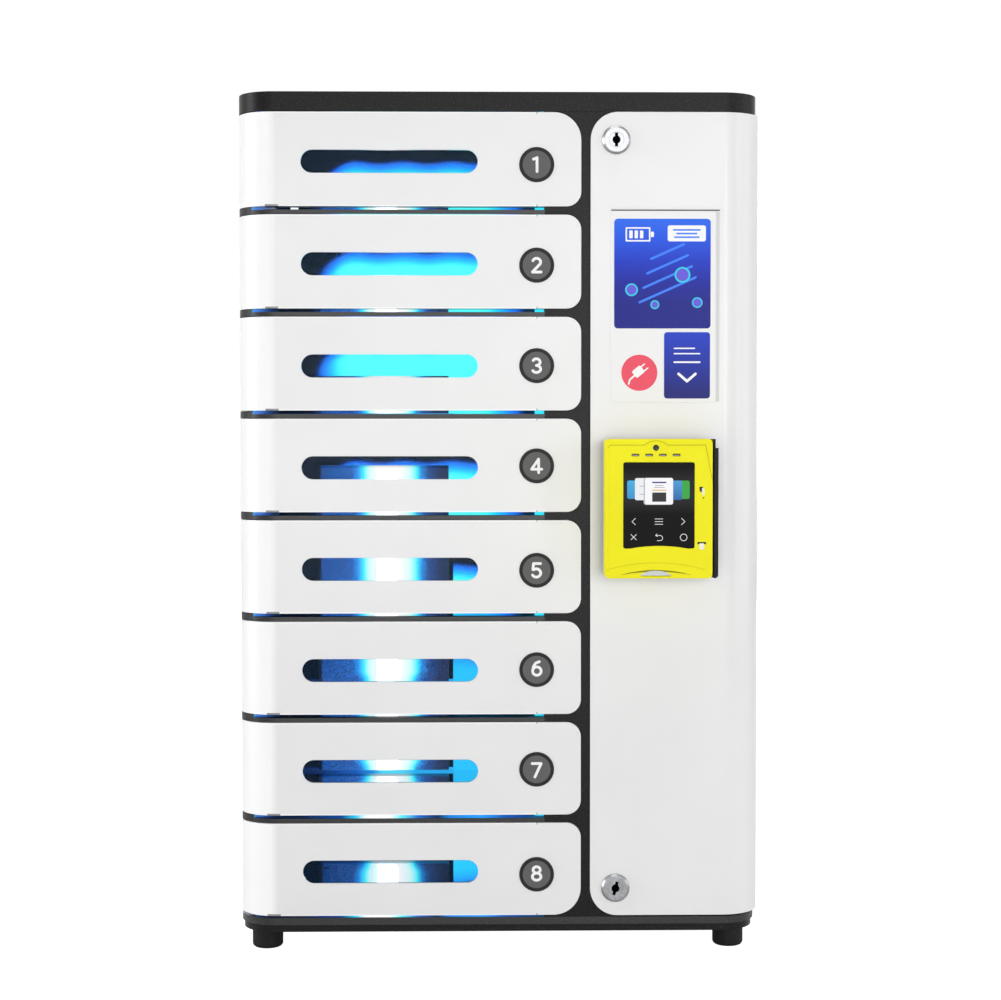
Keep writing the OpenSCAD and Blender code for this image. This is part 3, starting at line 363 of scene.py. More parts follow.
def lit_side_wall(name, sheet_x, right):
    """Black powder coat whose inner face, at sheet_x, is grazed by the lamps: on the right an
    even cyan; on the left blue at the mouth and navy at the back."""
    material, tree, shader, place = finish(name, 0.42, Specular_IOR_Level=0.3)
    textured_black(tree, shader, place)
    x, y, z = add(tree, "SeparateXYZ", [place])
    front = face_y("latch_post")
    back = face_y("back_panel")
    inward = add(tree, "MapRange", {"Value": y, "From Min": front, "From Max": back})[0]
    stops = [(0.0, "#30d8f4"), (1.0, "#38f0ff")] if right else [
        (0.0, "#2ba0d8"), (0.12, "#3b78d8"), (0.5, "#244a94"), (0.75, "#142a52"), (1.0, "#12203c")]
    light = ramp(tree, inward, stops)
    wall = add(tree, "Math", [x, sheet_x, 0.15 * MM], operation="COMPARE")[0]
    height, _ = glow_height(tree, z)
    low = add(tree, "MapRange", {"Value": height, "From Min": 30 * MM, "From Max": 75 * MM, "To Min": 1.0,
                                 "To Max": 0.08})[0]
    lit = add(tree, "Math", [wall, low], operation="MULTIPLY")[0]
    feed(shader, Emission_Color=light, Emission_Strength=lit)
    return material


def zinc_plate():
    """Bright zinc plating on pressed steel: pale grey metal with a faint blotchy bloom."""
    material, tree, shader, place = finish("zinc_plated_steel", 0.32, 1.0)
    bloom = grain(tree, place, 5, 3)
    colour = ramp(tree, bloom, [(0.3, "#a9abad"), (0.7, "#c9cbcd")])
    feed(shader, Base_Color=colour)
    rough = add(tree, "MapRange", {"Value": bloom, "To Min": 0.22, "To Max": 0.42})[0]
    feed(shader, Roughness=rough)
    return material


def drawn_steel():
    """Bright drawn steel rod: fine lines along its length, a tenth of a millimetre apart in
    truth and drawn at half a millimetre."""
    material, tree, shader, place = finish("bright_drawn_steel", 0.25, 1.0)
    lengthways = add(tree, "Mapping", {"Vector": place, "Scale": (1, 1, 0.02)})[0]
    lines = grain(tree, lengthways, 0.5, 2)
    colour = ramp(tree, lines, [(0.3, "#a5a7aa"), (0.7, "#c4c6c8")])
    feed(shader, Base_Color=colour)
    return material


def satin_chrome(name, front):
    """Satin chrome on a die-cast lock: mid-grey metal, softly brushed; what lies deeper than
    the face, inside the keyway, is painted black as shade."""
    material, tree, shader, place = finish(name, 0.28, 1.0)
    rub = grain(tree, place, 3, 2)
    colour = ramp(tree, rub, [(0.3, "#929395"), (0.7, "#a3a4a6")])
    y = add(tree, "SeparateXYZ", [place])[1]
    # Painted shade: inside the keyway, deeper than the face, the metal is painted black.
    deep = add(tree, "Math", [y, front + 0.4 * MM], operation="GREATER_THAN")[0]
    dark = add(tree, "Mix", {"Factor": deep, "A": colour, "B": linear("#020202")}, data_type="RGBA")
    feed(shader, Base_Color=dark["Result"])
    rough = add(tree, "MapRange", {"Value": rub, "To Min": 0.24, "To Max": 0.32})[0]
    feed(shader, Roughness=rough)
    return material


def clear_sheet():
    """Clear polycarbonate, 1.5 mm: sees through without colour and takes a faint gloss."""
    material, tree, shader, place = finish("clear_polycarbonate", 0.0, Transmission_Weight=1.0, IOR=1.1,
                                           Specular_IOR_Level=0.2)
    haze = grain(tree, place, 20, 1)
    colour = ramp(tree, haze, [(0.2, "#f8fcff"), (0.8, "#ffffff")])
    feed(shader, Base_Color=colour)
    return material


def rubber():
    """Moulded black nitrile rubber: matt, very dark, with a dusty bloom."""
    material, tree, shader, place = finish("moulded_nitrile_rubber", 0.7, Specular_IOR_Level=0.25)
    dust = grain(tree, place, 2.5, 4)
    colour = ramp(tree, dust, [(0.3, "#0e0e0f"), (0.75, "#1a1a1b")])
    feed(shader, Base_Color=colour)
    bump(tree, shader, dust, 0.1, 0.3)
    return material


def yellow_abs():
    """Signal-yellow moulded ABS with a satin spark-eroded grain, drawn at 0.9 mm."""
    material, tree, shader, place = finish("yellow_moulded_abs", 0.42, Specular_IOR_Level=0.15)
    cloud = grain(tree, place, 25, 2)
    colour = ramp(tree, cloud, [(0.3, "#f6ee12"), (0.7, "#fbf414")])
    feed(shader, Base_Color=colour)
    bump(tree, shader, grain(tree, place, 0.9, 2), 0.03, 0.25)
    return material


def black_abs():
    """Black moulded ABS with a fine spark-eroded grain, drawn at 0.9 mm: soft, low gloss."""
    material, tree, shader, place = finish("black_moulded_abs", 0.42, Specular_IOR_Level=0.15)
    fine = grain(tree, place, 0.9, 2)
    colour = ramp(tree, fine, [(0.3, "#060607"), (0.7, "#0e0e0f")])
    feed(shader, Base_Color=colour)
    bump(tree, shader, fine, 0.04, 0.4)
    return material


def touch_glass():
    """Black-backed touch glass: glossy, with the display's soft grey band across the middle."""
    material, tree, shader, place = finish("black_backed_touch_glass", 0.08, Specular_IOR_Level=0.03)
    z = add(tree, "SeparateXYZ", [place])[2]
    low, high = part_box("terminal_screen")
    up = add(tree, "MapRange", {"Value": z, "From Min": low.z, "From Max": high.z})[0]
    colour = ramp(tree, up, [(0.0, "#0c0a0b"), (0.4, "#0e0c0d"), (0.52, "#242425"), (0.62, "#2c2c2d"),
                             (0.8, "#262627"), (0.93, "#121112"), (1.0, "#0c0b0c")])
    feed(shader, Base_Color=linear("#030303"), Emission_Color=colour, Emission_Strength=1.0)
    return material


def blasted_aluminium():
    """Bead-blasted aluminium: an even, finely pitted grey metal; pits drawn at 0.8 mm."""
    material, tree, shader, place = finish("bead_blasted_aluminium", 0.45, 1.0)
    pits = grain(tree, place, 0.8, 3)
    colour = ramp(tree, pits, [(0.3, "#9a9c9f"), (0.7, "#b4b6b8")])
    feed(shader, Base_Color=colour)
    bump(tree, shader, pits, 0.05, 0.4)
    return material


def solder_mask():
    """Green solder mask over copper tracks: glossy green with paler lines 2.5 mm apart; what
    stands proud of the board is black plastic."""
    material, tree, shader, place = finish("green_solder_mask", 0.25)
    lines = add(tree, "TexBrick", {"Vector": place, "Scale": 1.0, "Color1": linear("#124a26"),
                                   "Color2": linear("#0f4222"), "Mortar": linear("#2c7a44"),
                                   "Mortar Size": 0.4 * MM, "Brick Width": 7.5 * MM, "Row Height": 2.5 * MM})
    y = add(tree, "SeparateXYZ", [place])[1]
    above_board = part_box("controller_board")[1].y - 9.7 * MM  # its standoffs, its thickness and a hair
    proud = add(tree, "Math", [y, above_board], operation="LESS_THAN")[0]
    colour = add(tree, "Mix", {"Factor": proud, "A": lines["Color"], "B": linear("#1c1c1e")},
                 data_type="RGBA")
    feed(shader, Base_Color=colour["Result"])
    return material


def ink(name, colours, roughness=0.45, glow=0.0, span=None):
    """Printed ink, a lit patch of the display, or painted shade or glint: one colour, or a gradient up the
    heights of span.
    """
    material, tree, shader, place = finish(name, roughness, Specular_IOR_Level=0.15)
    if len(colours) == 1:
        colour = linear(colours[0])
    else:
        z = add(tree, "SeparateXYZ", [place])[2]
        up = add(tree, "MapRange", {"Value": z, "From Min": span[0], "From Max": span[1]})[0]
        colour = ramp(tree, up, [(i / (len(colours) - 1), c) for i, c in enumerate(colours)])
    if glow:
        feed(shader, Base_Color=linear("#050505"), Emission_Color=colour, Emission_Strength=glow)
    else:
        feed(shader, Base_Color=colour)
    return material


# ------------------------------------------------------------ pieces

def wear(obj, material):
    """Puts a material on an object's slots in place of what it came with."""
    if not obj.material_slots:
        obj.data.materials.append(material)
    for slot in obj.material_slots:
        slot.material = material


def as_piece(name, bm, body, material):
    """Turns a bmesh into a piece that rides on a body; edges sharper than 35 degrees stay crisp."""
    mesh = bpy.data.meshes.new(name)
    bm.to_mesh(mesh)
    bm.free()
    mesh.polygons.foreach_set("use_smooth", [True] * len(mesh.polygons))
    mesh.set_sharp_from_angle(angle=math.radians(35))
    mesh.materials.append(material)
    obj = bpy.data.objects.new(name, mesh)
    bpy.context.scene.collection.objects.link(obj)
    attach(obj, body)
    return obj


def eased(node, body, material, edge_mm, segments=3, sharp=50):
    """A copy of a node's solid with its sharp edges eased by edge_mm, shown in its place."""
    bm = bmesh.new()
    bm.from_mesh(nodes[node].data)
    bmesh.ops.remove_doubles(bm, verts=bm.verts, dist=0.002 * MM)
    bmesh.ops.dissolve_limit(bm, angle_limit=math.radians(0.5), verts=bm.verts, edges=bm.edges)
    limit = math.radians(sharp)
    keen = [e for e in bm.edges if len(e.link_faces) == 2 and e.calc_face_angle(0) > limit]
    bmesh.ops.bevel(bm, geom=keen, offset=edge_mm * MM, segments=segments, profile=0.5,
                    affect="EDGES", clamp_overlap=True, material=-1)
    obj = as_piece(f"{node}_eased", bm, body, material)
    obj.modifiers.new("flat_faces", "WEIGHTED_NORMAL").keep_sharp = True
    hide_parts(node)
    return obj


def stand_up(bm, x, y, z, depth):
    """Gives a flat shape, drawn on the floor plan, its depth and stands it up facing the viewer,
    with its back at depth y."""
    front = bmesh.ops.extrude_face_region(bm, geom=list(bm.faces))["geom"]
    bmesh.ops.translate(bm, verts=[v for v in front if isinstance(v, bmesh.types.BMVert)], vec=(0, 0, depth))
    bmesh.ops.recalc_face_normals(bm, faces=bm.faces)
    bmesh.ops.transform(bm, verts=bm.verts, matrix=Matrix.Translation((x, y, z))
                        @ Matrix.Rotation(math.pi / 2, 4, "X"))


def card(bm, width, height, radius, x=0.0, z=0.0, turn=0.0):
    """A rectangle with round corners, about (x, z), turned by turn degrees; all in mm."""
    made = bmesh.ops.create_grid(bm, x_segments=1, y_segments=1, size=0.5)["verts"]
    bmesh.ops.scale(bm, verts=made, vec=(width * MM, height * MM, 1))
    if radius:
        rounded = bmesh.ops.bevel(bm, geom=made, offset=radius * MM, segments=6, profile=0.5,
                                  affect="VERTICES", material=-1)
        made = list({v for f in rounded["faces"] for v in f.verts} | set(rounded["verts"]))
    bmesh.ops.transform(bm, verts=made, matrix=Matrix.Translation((x * MM, z * MM, 0))
                        @ Matrix.Rotation(math.radians(turn), 4, "Z"))


def disc(bm, radius, x=0.0, z=0.0, segments=48):
    """A round patch about (x, z), in mm."""
    bmesh.ops.create_circle(bm, cap_ends=True, segments=segments, radius=radius * MM,
                            matrix=Matrix.Translation((x * MM, z * MM, 0)))


def stroke(bm, points, width):
    """A line of even width with round ends and joints, through points in mm."""
    for x, z in points:
        disc(bm, width / 2, x, z, 20)
    for (x0, z0), (x1, z1) in zip(points, points[1:]):
        length = math.hypot(x1 - x0, z1 - z0)
        card(bm, length, width, 0, (x0 + x1) / 2, (z0 + z1) / 2, math.degrees(math.atan2(z1 - z0, x1 - x0)))


def arc(x, z, across, up, start, end, steps=14):
    """Points along part of an ellipse, angles in degrees."""
    turn = [math.radians(start + (end - start) * i / steps) for i in range(steps + 1)]
    return [(x + across * math.cos(a), z + up * math.sin(a)) for a in turn]


def join_outlines(bm):
    """Unites the overlapping flat shapes of a mark into one even patch; what no shape covers
    stays open."""
    bm.verts.index_update()
    rings = [[v.index for v in f.verts] for f in bm.faces]
    spots, _, patches, _, _, drawn = delaunay_2d_cdt([v.co.xy / MM for v in bm.verts], [], rings, 1, 1e-5)
    covered = [p for p, source in zip(patches, drawn) if source]
    joined = bpy.data.meshes.new("joined")
    joined.from_pydata([(x * MM, y * MM, 0) for x, y in spots], [], covered)
    bm.clear()
    bm.from_mesh(joined)
    bpy.data.meshes.remove(joined)
    bmesh.ops.delete(bm, geom=[v for v in bm.verts if not v.link_faces], context="VERTS")


def patch(bm, points):
    """A flat shape through points in mm."""
    bm.faces.new([bm.verts.new((x * MM, z * MM, 0)) for x, z in points])


def mark(name, draw, at, depth_mm, body, material):
    """A flat printed or inlaid mark, or a patch of painted shade or glint: draw fills its outline, at is its
    middle.
    """
    bm = bmesh.new()
    draw(bm)
    if len(bm.faces) > 1:
        join_outlines(bm)
    stand_up(bm, *at, depth_mm * MM)
    return as_piece(name, bm, body, material)


# ------------------------------------------------------------ cabinet and doors

black = black_powder_coat()
white = white_powder_coat("white_satin_powder_coat")
# The doors' coat, with painted highlights on its folds and bend and painted shade in its nicks.
folded_white = white_powder_coat("white_powder_coat_painted_highlights", True)
zinc = zinc_plate()
black_plastic = black_abs()

for name, edge_mm in (("top_cap", 0.8), ("base_plate", 0.8), ("latch_post", 0.3)):
    eased(name, "cabinet", black, edge_mm)
eased("base_pan", "cabinet",
      mirror_floor("part_plated_powder_coat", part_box("base_pan")[1].z), 0.8)
for name in ("left_side_panel", "right_side_panel"):
    eased(name, "cabinet", white, 0.5)
for i in DOORS:
    eased(f"door_{i}", f"door_body_{i}", folded_white, 0.9)
eased("service_door", "service_body", white, 0.9)

# The latch post's returns: corner plates that close the gap outside the service door's round
# corners, where the opening of the electronics bay would show. All in mm.
CORNER_RADIUS, CORNER_GAP, PLATE_LEFT = 25.5, 0.6, 86.7
PLATE_TOP, PLATE_RIGHT = CORNER_RADIUS + 2.2, CORNER_RADIUS + 4
service_low, service_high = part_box("service_door")
inner = CORNER_RADIUS + CORNER_GAP
rim = arc(CORNER_RADIUS, 0, inner, inner, 122, 90, 10)
plate = [(rim[0][0], PLATE_TOP)] + rim + [(PLATE_RIGHT, inner), (PLATE_RIGHT, PLATE_TOP)]
for name, side, corner in (("latch_post_upper_return", 1, service_high.z - CORNER_RADIUS * MM),
                           ("latch_post_lower_return", -1, service_low.z + CORNER_RADIUS * MM)):
    bm = bmesh.new()
    patch(bm, plate)
    bmesh.ops.scale(bm, verts=bm.verts, vec=(1, side, 1))
    stand_up(bm, PLATE_LEFT * MM, face_y("latch_post") + 1.5 * MM, corner, 1.5 * MM)
    as_piece(name, bm, "cabinet", black)

wear(nodes["shelves"], mirror_floor("black_chrome"))
wear(nodes["back_panel"], lit_back_panel())
wear(nodes["hinge_post"], lit_side_wall("lit_hinge_wall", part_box("hinge_post")[1].x, False))
wear(nodes["divider"], lit_side_wall("lit_divider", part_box("divider")[0].x, True))
wear(nodes["hinge_rods"], drawn_steel())
wear(nodes["latch_bodies"], zinc)
wear(nodes["feet"], rubber())
wear(nodes["lamp_units"], lamp_housing())
wear(nodes["lamp_lenses"], lamp_diffuser())
wear(nodes["power_supply"], blasted_aluminium())
wear(nodes["controller_board"], solder_mask())
wear(nodes["power_inlet"], black_plastic)
nowhere = 1.0  # a depth behind the whole locker: the lock bodies have no keyway to blacken
eased("lock_bodies", "service_body", satin_chrome("satin_chrome", nowhere), 0.35, sharp=40)
# The lock plugs' keyways are painted black as shade.
keyed = satin_chrome("satin_chrome_plug", face_y("lock_cylinder_upper"))
for name in ("lock_cylinder_upper", "lock_cylinder_lower"):
    wear(nodes[name], keyed)
for name in ("lock_cam_upper", "lock_cam_lower"):
    wear(nodes[name], zinc)
clear = clear_sheet()
for i in DOORS:
    wear(nodes[f"window_{i}"], clear)
    wear(nodes[f"latch_bolt_{i}"], zinc)

# ------------------------------------------------------------ number badges

RING_RADIUS, DISC_RADIUS, DIGIT_WIDTH, DIGIT_SCALE = 16.5, 13.2, 2.6, 0.92
DIGIT_RISE = {6: 1.2, 7: -0.8, 8: 0.9}
DIGITS = {
    1: [[(-3.3, 5.5), (0.3, 7.0), (0.3, -7.0)]],
    2: [arc(-0.1, 3.1, 4.1, 3.9, 158, -28) + [(-4.4, -7.0), (4.4, -7.0)]],
    3: [arc(-0.3, 3.6, 3.8, 3.4, 150, -90), arc(-0.3, -3.4, 4.3, 3.6, 90, -150)],
    4: [[(2.0, -7.0), (2.0, 7.0), (-5.2, -3.4), (5.2, -3.4)]],
    5: [[(3.9, 7.0), (-3.2, 7.0), (-3.9, 0.8)] + arc(-0.4, -2.7, 4.5, 4.3, 128, -150)],
    6: [arc(0.2, -2.7, 4.4, 4.3, 0, 360, 24), [(2.7, 7.0), (-0.9, 5.6), (-3.2, 2.2), (-4.2, -2.4)]],
    7: [[(-4.6, 7.0), (4.6, 7.0), (-1.8, -7.0)]],
    8: [arc(0, 3.7, 3.7, 3.3, 0, 360, 24), arc(0, -3.3, 4.4, 3.7, 0, 360, 24)]}
ring_ink = ink("charcoal_vinyl", ["#252525"])
disc_ink = ink("grey_vinyl", ["#626262"])
digit_ink = ink("white_vinyl", ["#fbfbfb"])


def digit(bm, number):
    for line in DIGITS[number]:
        stroke(bm, [(DIGIT_SCALE * x, DIGIT_SCALE * z) for x, z in line], DIGIT_WIDTH)


for i in DOORS:
    at = middle(f"badge_{i}")
    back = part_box(f"badge_{i}")[1].y
    for part, draw, out, rise, depth_mm, look in (
            ("ring", lambda bm: disc(bm, RING_RADIUS, segments=72), 0, 0, 0.55, ring_ink),
            ("disc", lambda bm: disc(bm, DISC_RADIUS, segments=72), 0.5, 0, 0.15, disc_ink),
            ("digit", lambda bm: digit(bm, i), 0.6, DIGIT_RISE.get(i, 0), 0.15, digit_ink)):
        made = mark(f"badge_{i}_{part}", draw, (at.x, back - out * MM, at.z + rise * MM), depth_mm,
                    f"door_body_{i}", look)
        if part == "ring":
            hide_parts(f"badge_{i}")

# ------------------------------------------------------------ sign

sign = middle("sign_plate")
sign_front = face_y("sign_plate")
sign_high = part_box("sign_plate")[1]
eased("sign_plate", "service_body", ink("white_acrylic_sheet", ["#f6f6f6"], 0.25), 0.25, 2)
blue_field = ink("blue_print", ["#0a1688", "#0a1ea0", "#1238c8", "#1d58ea", "#2b70f6"], 0.3,
                 span=(sign.z + 2 * MM, sign.z + 84 * MM))
deep_blue = ink("deep_blue_print", ["#0a1478", "#1a3fcf"], 0.3, span=(sign.z - 80 * MM, sign.z - 20 * MM))
sky, cyan, violet, coral, paper = [ink(f"{name}_print", [colour], 0.3) for name, colour in (
    ("sky_blue", "#3f86ff"), ("cyan", "#35d5f0"), ("violet", "#6a5be0"), ("coral", "#f4536a"),
    ("white", "#ffffff"))]


def rays(bm):
    for i in range(4):
        card(bm, 60 - 8 * i, 2.2, 1.1, 0, -18 + 12 * i, 24)


def battery(bm):
    stroke(bm, [(-11, -6), (-11, 6), (11, 6), (11, -6), (-11, -6)], 1.4)
    card(bm, 3, 5, 0.8, 13.5, 0)
    for x in (-6.6, -1.6, 3.4):
        card(bm, 3.2, 7.4, 0.6, x, 0)


def beads(bm, radii):
    for (x, z), radius in zip(((-30, -10), (-8, -24), (18, 4), (32, -22)), radii):
        disc(bm, radius, x, z)


def caption_bars(bm):
    for z, width in ((3.2, 26), (-0.2, 20), (-3.6, 24)):
        card(bm, width, 1.5, 0.7, 0, z)


def arrow(bm):
    stroke(bm, [(-8, 3), (0, -4), (8, 3)], 2.4)
    stroke(bm, [(-12, 14), (12, 14)], 1.6)
    for z in (22, 27):
        stroke(bm, [(-12, z), (12 - (z - 22), z)], 1.2)


def plug(bm):
    card(bm, 10, 8, 1.5, -1, 0, 40)
    stroke(bm, [(-4.5, -3.7), (-9, -7.5), (-10, -11.5)], 1.6)
    for side in (-1, 1):
        stroke(bm, [(3.2 - 1.6 * side, 2.7 + 1.9 * side), (6.3 - 1.6 * side, 5.3 + 1.9 * side)], 1.3)


# Each print's middle is x, z mm from the sign's; layers lie on one another.
for name, draw, x, z, look, layer in (
        ("field", lambda bm: card(bm, 91, 103, 3.5), -0.9, 31.2, blue_field, 0),
        ("lower_field", lambda bm: card(bm, 43.5, 62.5, 3), 22.5, -55, deep_blue, 0),
        ("coral_disc", lambda bm: disc(bm, 17, segments=72), -22.5, -62, coral, 0),
        ("bands", rays, 4, 34, sky, 1),
        ("battery", battery, -24, 68, paper, 1),
        ("beads", lambda bm: beads(bm, (6, 4.2, 7.5, 5)), 0, 26, cyan, 2),
        ("bead_hearts", lambda bm: beads(bm, (4.6, 3, 5.8, 3.8)), 0, 26, violet, 3),
        ("caption", lambda bm: card(bm, 36, 15, 2), 22, 69, paper, 1),
        ("caption_bars", caption_bars, 22, 69, sky, 2),
        ("arrow", arrow, 22.5, -66, paper, 1),
        ("plug", plug, -22.5, -61, paper, 1)):
    mark(f"sign_{name}", draw, (sign.x + x * MM, sign_front - layer * LAYER * MM, sign.z + z * MM), 0.08,
         "service_body", look)

# The sign stands in a clear pocket whose upper edge and right seam show as thin lines; the
# upper edge's dark grey is a painted shadow along the pocket's lip.
mark("sign_pocket_edge", lambda bm: card(bm, 102.5, 0.9, 0),
     (sign.x + 2 * MM, sign_front + 0.9 * MM, sign_high.z + 0.6 * MM), 0.9,
     "service_body", ink("pocket_edge_painted_shadow", ["#3c3c40"], 0.3))
mark("sign_pocket_seam", lambda bm: card(bm, 3, 178, 0),
     (sign_high.x + 2.2 * MM, sign_front + 0.95 * MM, sign.z), 0.3,
     "service_body", ink("clear_pvc", ["#dcdcdd"], 0.2))

# ------------------------------------------------------------ card terminal

DRAWN_BACK = 0.15 * MM
yellow = yellow_abs()
shell = eased("terminal_cover", "service_body", yellow, 0.45, 3)
# The prints stand proud of the cover, so its face is drawn back to keep them within its outline.
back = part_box("terminal_cover")[1].y
flatter = 1 - DRAWN_BACK / (back - face_y("terminal_cover"))
shell.data.transform(Matrix.Translation((0, back, 0)) @ Matrix.Diagonal((1, flatter, 1, 1))
                     @ Matrix.Translation((0, -back, 0)))
eased("terminal_housing", "service_body", black_plastic, 0.6, 3)
wear(nodes["terminal_screen"], touch_glass())

cover = middle("terminal_cover")
cover_front = face_y("terminal_cover") + DRAWN_BACK
glass = face_y("terminal_screen")
icon_light = ink("display_white", ["#ececf0"], 0.3, 1.0)


def on_glass(name, draw, x, z, look, layer=0):
    """A lit mark on the touch screen, its middle x, z mm from the cover's middle."""
    mark(name, draw, (cover.x + x * MM, glass - layer * LAYER * MM, cover.z + z * MM), LAYER,
         "service_body", look)


def small_icons(bm):
    for x, z, lines in (
            (-23.4, -11.9, [[(1.6, 3.0), (-1.6, 0), (1.6, -3.0)]]),
            (22.6, -11.9, [[(-1.6, 3.0), (1.6, 0), (-1.6, -3.0)]]),
            (0, -11.9, [[(-3.6, z), (3.6, z)] for z in (2.5, 0, -2.5)]),
            (-23.4, -26.3, [[(-2.5, 2.5), (2.5, -2.5)], [(-2.5, -2.5), (2.5, 2.5)]]),
            (0, -26.6, [[(-1.8, 3.2), (-3.0, 1.8), (-1.4, 0.8)],
                        [(-2.8, 1.8), (1.2, 1.8)] + arc(1.2, -0.6, 2.3, 2.4, 90, -90, 10) + [(-1.6, -3.0)]])):
        for line in lines:
            stroke(bm, [(x + a, z + b) for a, b in line], 0.52)


def display_lines(bm):
    for z, width in ((21.6, 8), (19.8, 10), (21.0, 5), (13.5, 5)):
        card(bm, width, 0.5, 0.2, 0.2 if width > 6 else -15.5, z)


on_glass("display_icons", small_icons, 0, 0, icon_light)

# The open ring's middle is x, z mm from the cover's, as for the other marks.
bm = bmesh.new()
inner, outer = [[bm.verts.new((x * MM, z * MM, 0)) for x, z in arc(0, 0, radius, radius, 0, 360, 40)[:-1]]
                for radius in (2.85, 3.4)]
for i in range(40):
    bm.faces.new([inner[i - 1], outer[i - 1], outer[i], inner[i]])
stand_up(bm, cover.x + 23.0 * MM, glass, cover.z - 26.6 * MM, LAYER * MM)
as_piece("display_ring_icon", bm, "service_body", icon_light)

cards_span = (cover.z + 8 * MM, cover.z + 28 * MM)
for name, look, colours, glow, width, height, radius, x, z, layer in (
        ("green", "display_card_green_ink", ["#2fa63a"], 0.95, 16, 17, 1.8, 20.5, 17.6, 0),
        ("blue", "display_card_blue_ink", ["#1f62a8", "#4aa0dc"], 0.95, 18, 18, 1.8, 12.5, 17.1, 1),
        ("left", "display_card_left_ink", ["#2f8ecb", "#3fb4e6"], 0.95, 16, 17, 1.8, -21.5, 17.7, 0),
        ("white", "display_card_white_ink", ["#f0f1f4"], 0.95, 26, 20.5, 1.8, -9.3, 18.2, 1),
        ("front", "display_card_front_ink", ["#fafafc"], 0.95, 26, 24.5, 1.8, 0.0, 16.3, 3),
        ("stripe", "violet_display", ["#34318c"], 0.9, 13, 1.3, 0.2, 0.2, 24.4, 4),
        ("rule", "gold_display", ["#e8b030"], 0.9, 13, 0.9, 0.2, 0.2, 17.2, 4),
        ("panel", "grey_display", ["#26262c"], 0.9, 13, 8.6, 0.5, 0.2, 10.8, 4),
        ("shade", "display_shade", ["#c4c4ca"], 0.9, 27.4, 25, 2.2, -0.5, 16.2, 2)):
    on_glass(f"display_card_{name}", lambda bm: card(bm, width, height, radius), x, z,
             ink(look, colours, 0.3, glow, cards_span), layer)
on_glass("display_card_lines", display_lines, 0, 0, ink("pale_grey_display", ["#8a8a96"], 0.3, 0.9), 4)

MIDLINE, FOOT = -2.8, -64.7  # the cover's front is drawn about MIDLINE; FOOT is its lower edge
SLOTS = [MIDLINE + (i - 1.5) * 12.7 for i in range(4)]
SCOOP = {"upper": (7.9, 117.9, 106.6, 73.4), "lower": (6.1, 180, 79.2, 100.8)}  # top, radius, its angles
FIELD_TOP, FIELD_LEFT, FIELD_RIGHT = 59.0, -47.1, 43.4
ARCH_RADIUS, ARCH_TOP = 165.4, 14.4


def light_slots(bm):
    for x in SLOTS:
        card(bm, 7.3, 2.5, 1.2, x, 49.8)


def lights(bm):
    for x in SLOTS:
        card(bm, 5.6, 1.3, 0.3, x, 49.4)


def field_foot(bm):
    """The raised field's foot: the line of shadow that its edge casts on the cover's margin."""
    rise = arc(MIDLINE, 46.6, 16.4, 16.4, 131, 49, 12)
    stroke(bm, [(FIELD_LEFT, -58), (FIELD_LEFT, 57), (-45, FIELD_TOP)] + rise
           + [(FIELD_RIGHT, FIELD_TOP), (49.3, 27)], 0.9)


def arch_foot(bm):
    stroke(bm, arc(MIDLINE, FOOT + ARCH_TOP - ARCH_RADIUS, ARCH_RADIUS, ARCH_RADIUS, 106, 74, 16), 0.8)


def scoop_rim(which):
    """Points along the upper or the lower edge of the shade under the scoop's wall."""
    top, radius, start, end = SCOOP[which]
    return arc(MIDLINE, FOOT + top - radius, radius, radius, start, end, 24)


finger = [(MIDLINE + x, FOOT + z) for x, z in
          ((-15, 2.6), (15, 2.6), (10.5, 5.2), (6, 6.7), (0, 7.2), (-6, 6.7), (-10.5, 5.2))]

# Details on the cover, drawn from its middle: moulded parts, and painted shade in the lights'
# wells, at the feet of the raised field and arch and under the scoop's wall, and a painted glint
# on the sensor; sink is the depth of the detail's back below the cover's face.
for name, draw, sink, depth_mm, slot, look in (
        # painted shade in the wells round the lights
        ("light_wells", light_slots, 0.9, 0.2, "yellow_plastic", ink("olive_shadow", ["#55530c"], 0.5)),
        ("lights", lights, 0.7, 0.2, "black_plastic", ink("smoked_diffuser", ["#9a9a92"], 0.3)),
        ("sensor", lambda bm: disc(bm, 2.85, MIDLINE, 56.5), 2.9, 1.6, "black_plastic",
         ink("smoked_window", ["#060606"], 0.1)),
        # a painted glint on the sensor's window
        ("sensor_glint", lambda bm: disc(bm, 0.8, MIDLINE + 1.0, 55.3, 20), 1.25, 0.1, "black_plastic",
         ink("sensor_painted_glint", ["#4a4a50"], 0.1)),
        ("field_foot", field_foot, 0.85, 0.12, "yellow_plastic", ink("yellow_in_shade", ["#cdc614"], 0.5)),
        ("arch_foot", arch_foot, 0.85, 0.12, "yellow_plastic", ink("yellow_in_soft_shade", ["#e0da16"], 0.5)),
        ("mouth_shutter", lambda bm: patch(bm, scoop_rim("lower")), 1.4, 0.2, "yellow_plastic", yellow),
        # painted shade under the scoop's wall
        ("scoop_shade", lambda bm: patch(bm, scoop_rim("upper") + scoop_rim("lower")), 1.4, 0.25,
         "yellow_plastic", ink("olive_painted_shade", ["#8f890e"], 0.5)),
        ("finger_plate", lambda bm: patch(bm, finger), 1.4, 0.35, "black_plastic",
         ink("pale_grey_abs", ["#d6dad8"], 0.4))):
    mark(f"terminal_{name}", draw, (cover.x, cover_front + sink * MM, cover.z), depth_mm, "service_body",
         look)

pictogram = ink("black_print", ["#1a1a1a"], 0.4)
pictogram_white = ink("pale_print", ["#f4f4e8"], 0.4)


def swipe_mark(bm):
    card(bm, 3.2, 4.6, 0.4, -0.9, 1.6, 8)
    card(bm, 1.2, 1.2, 0.2, 1.2, -6.4)


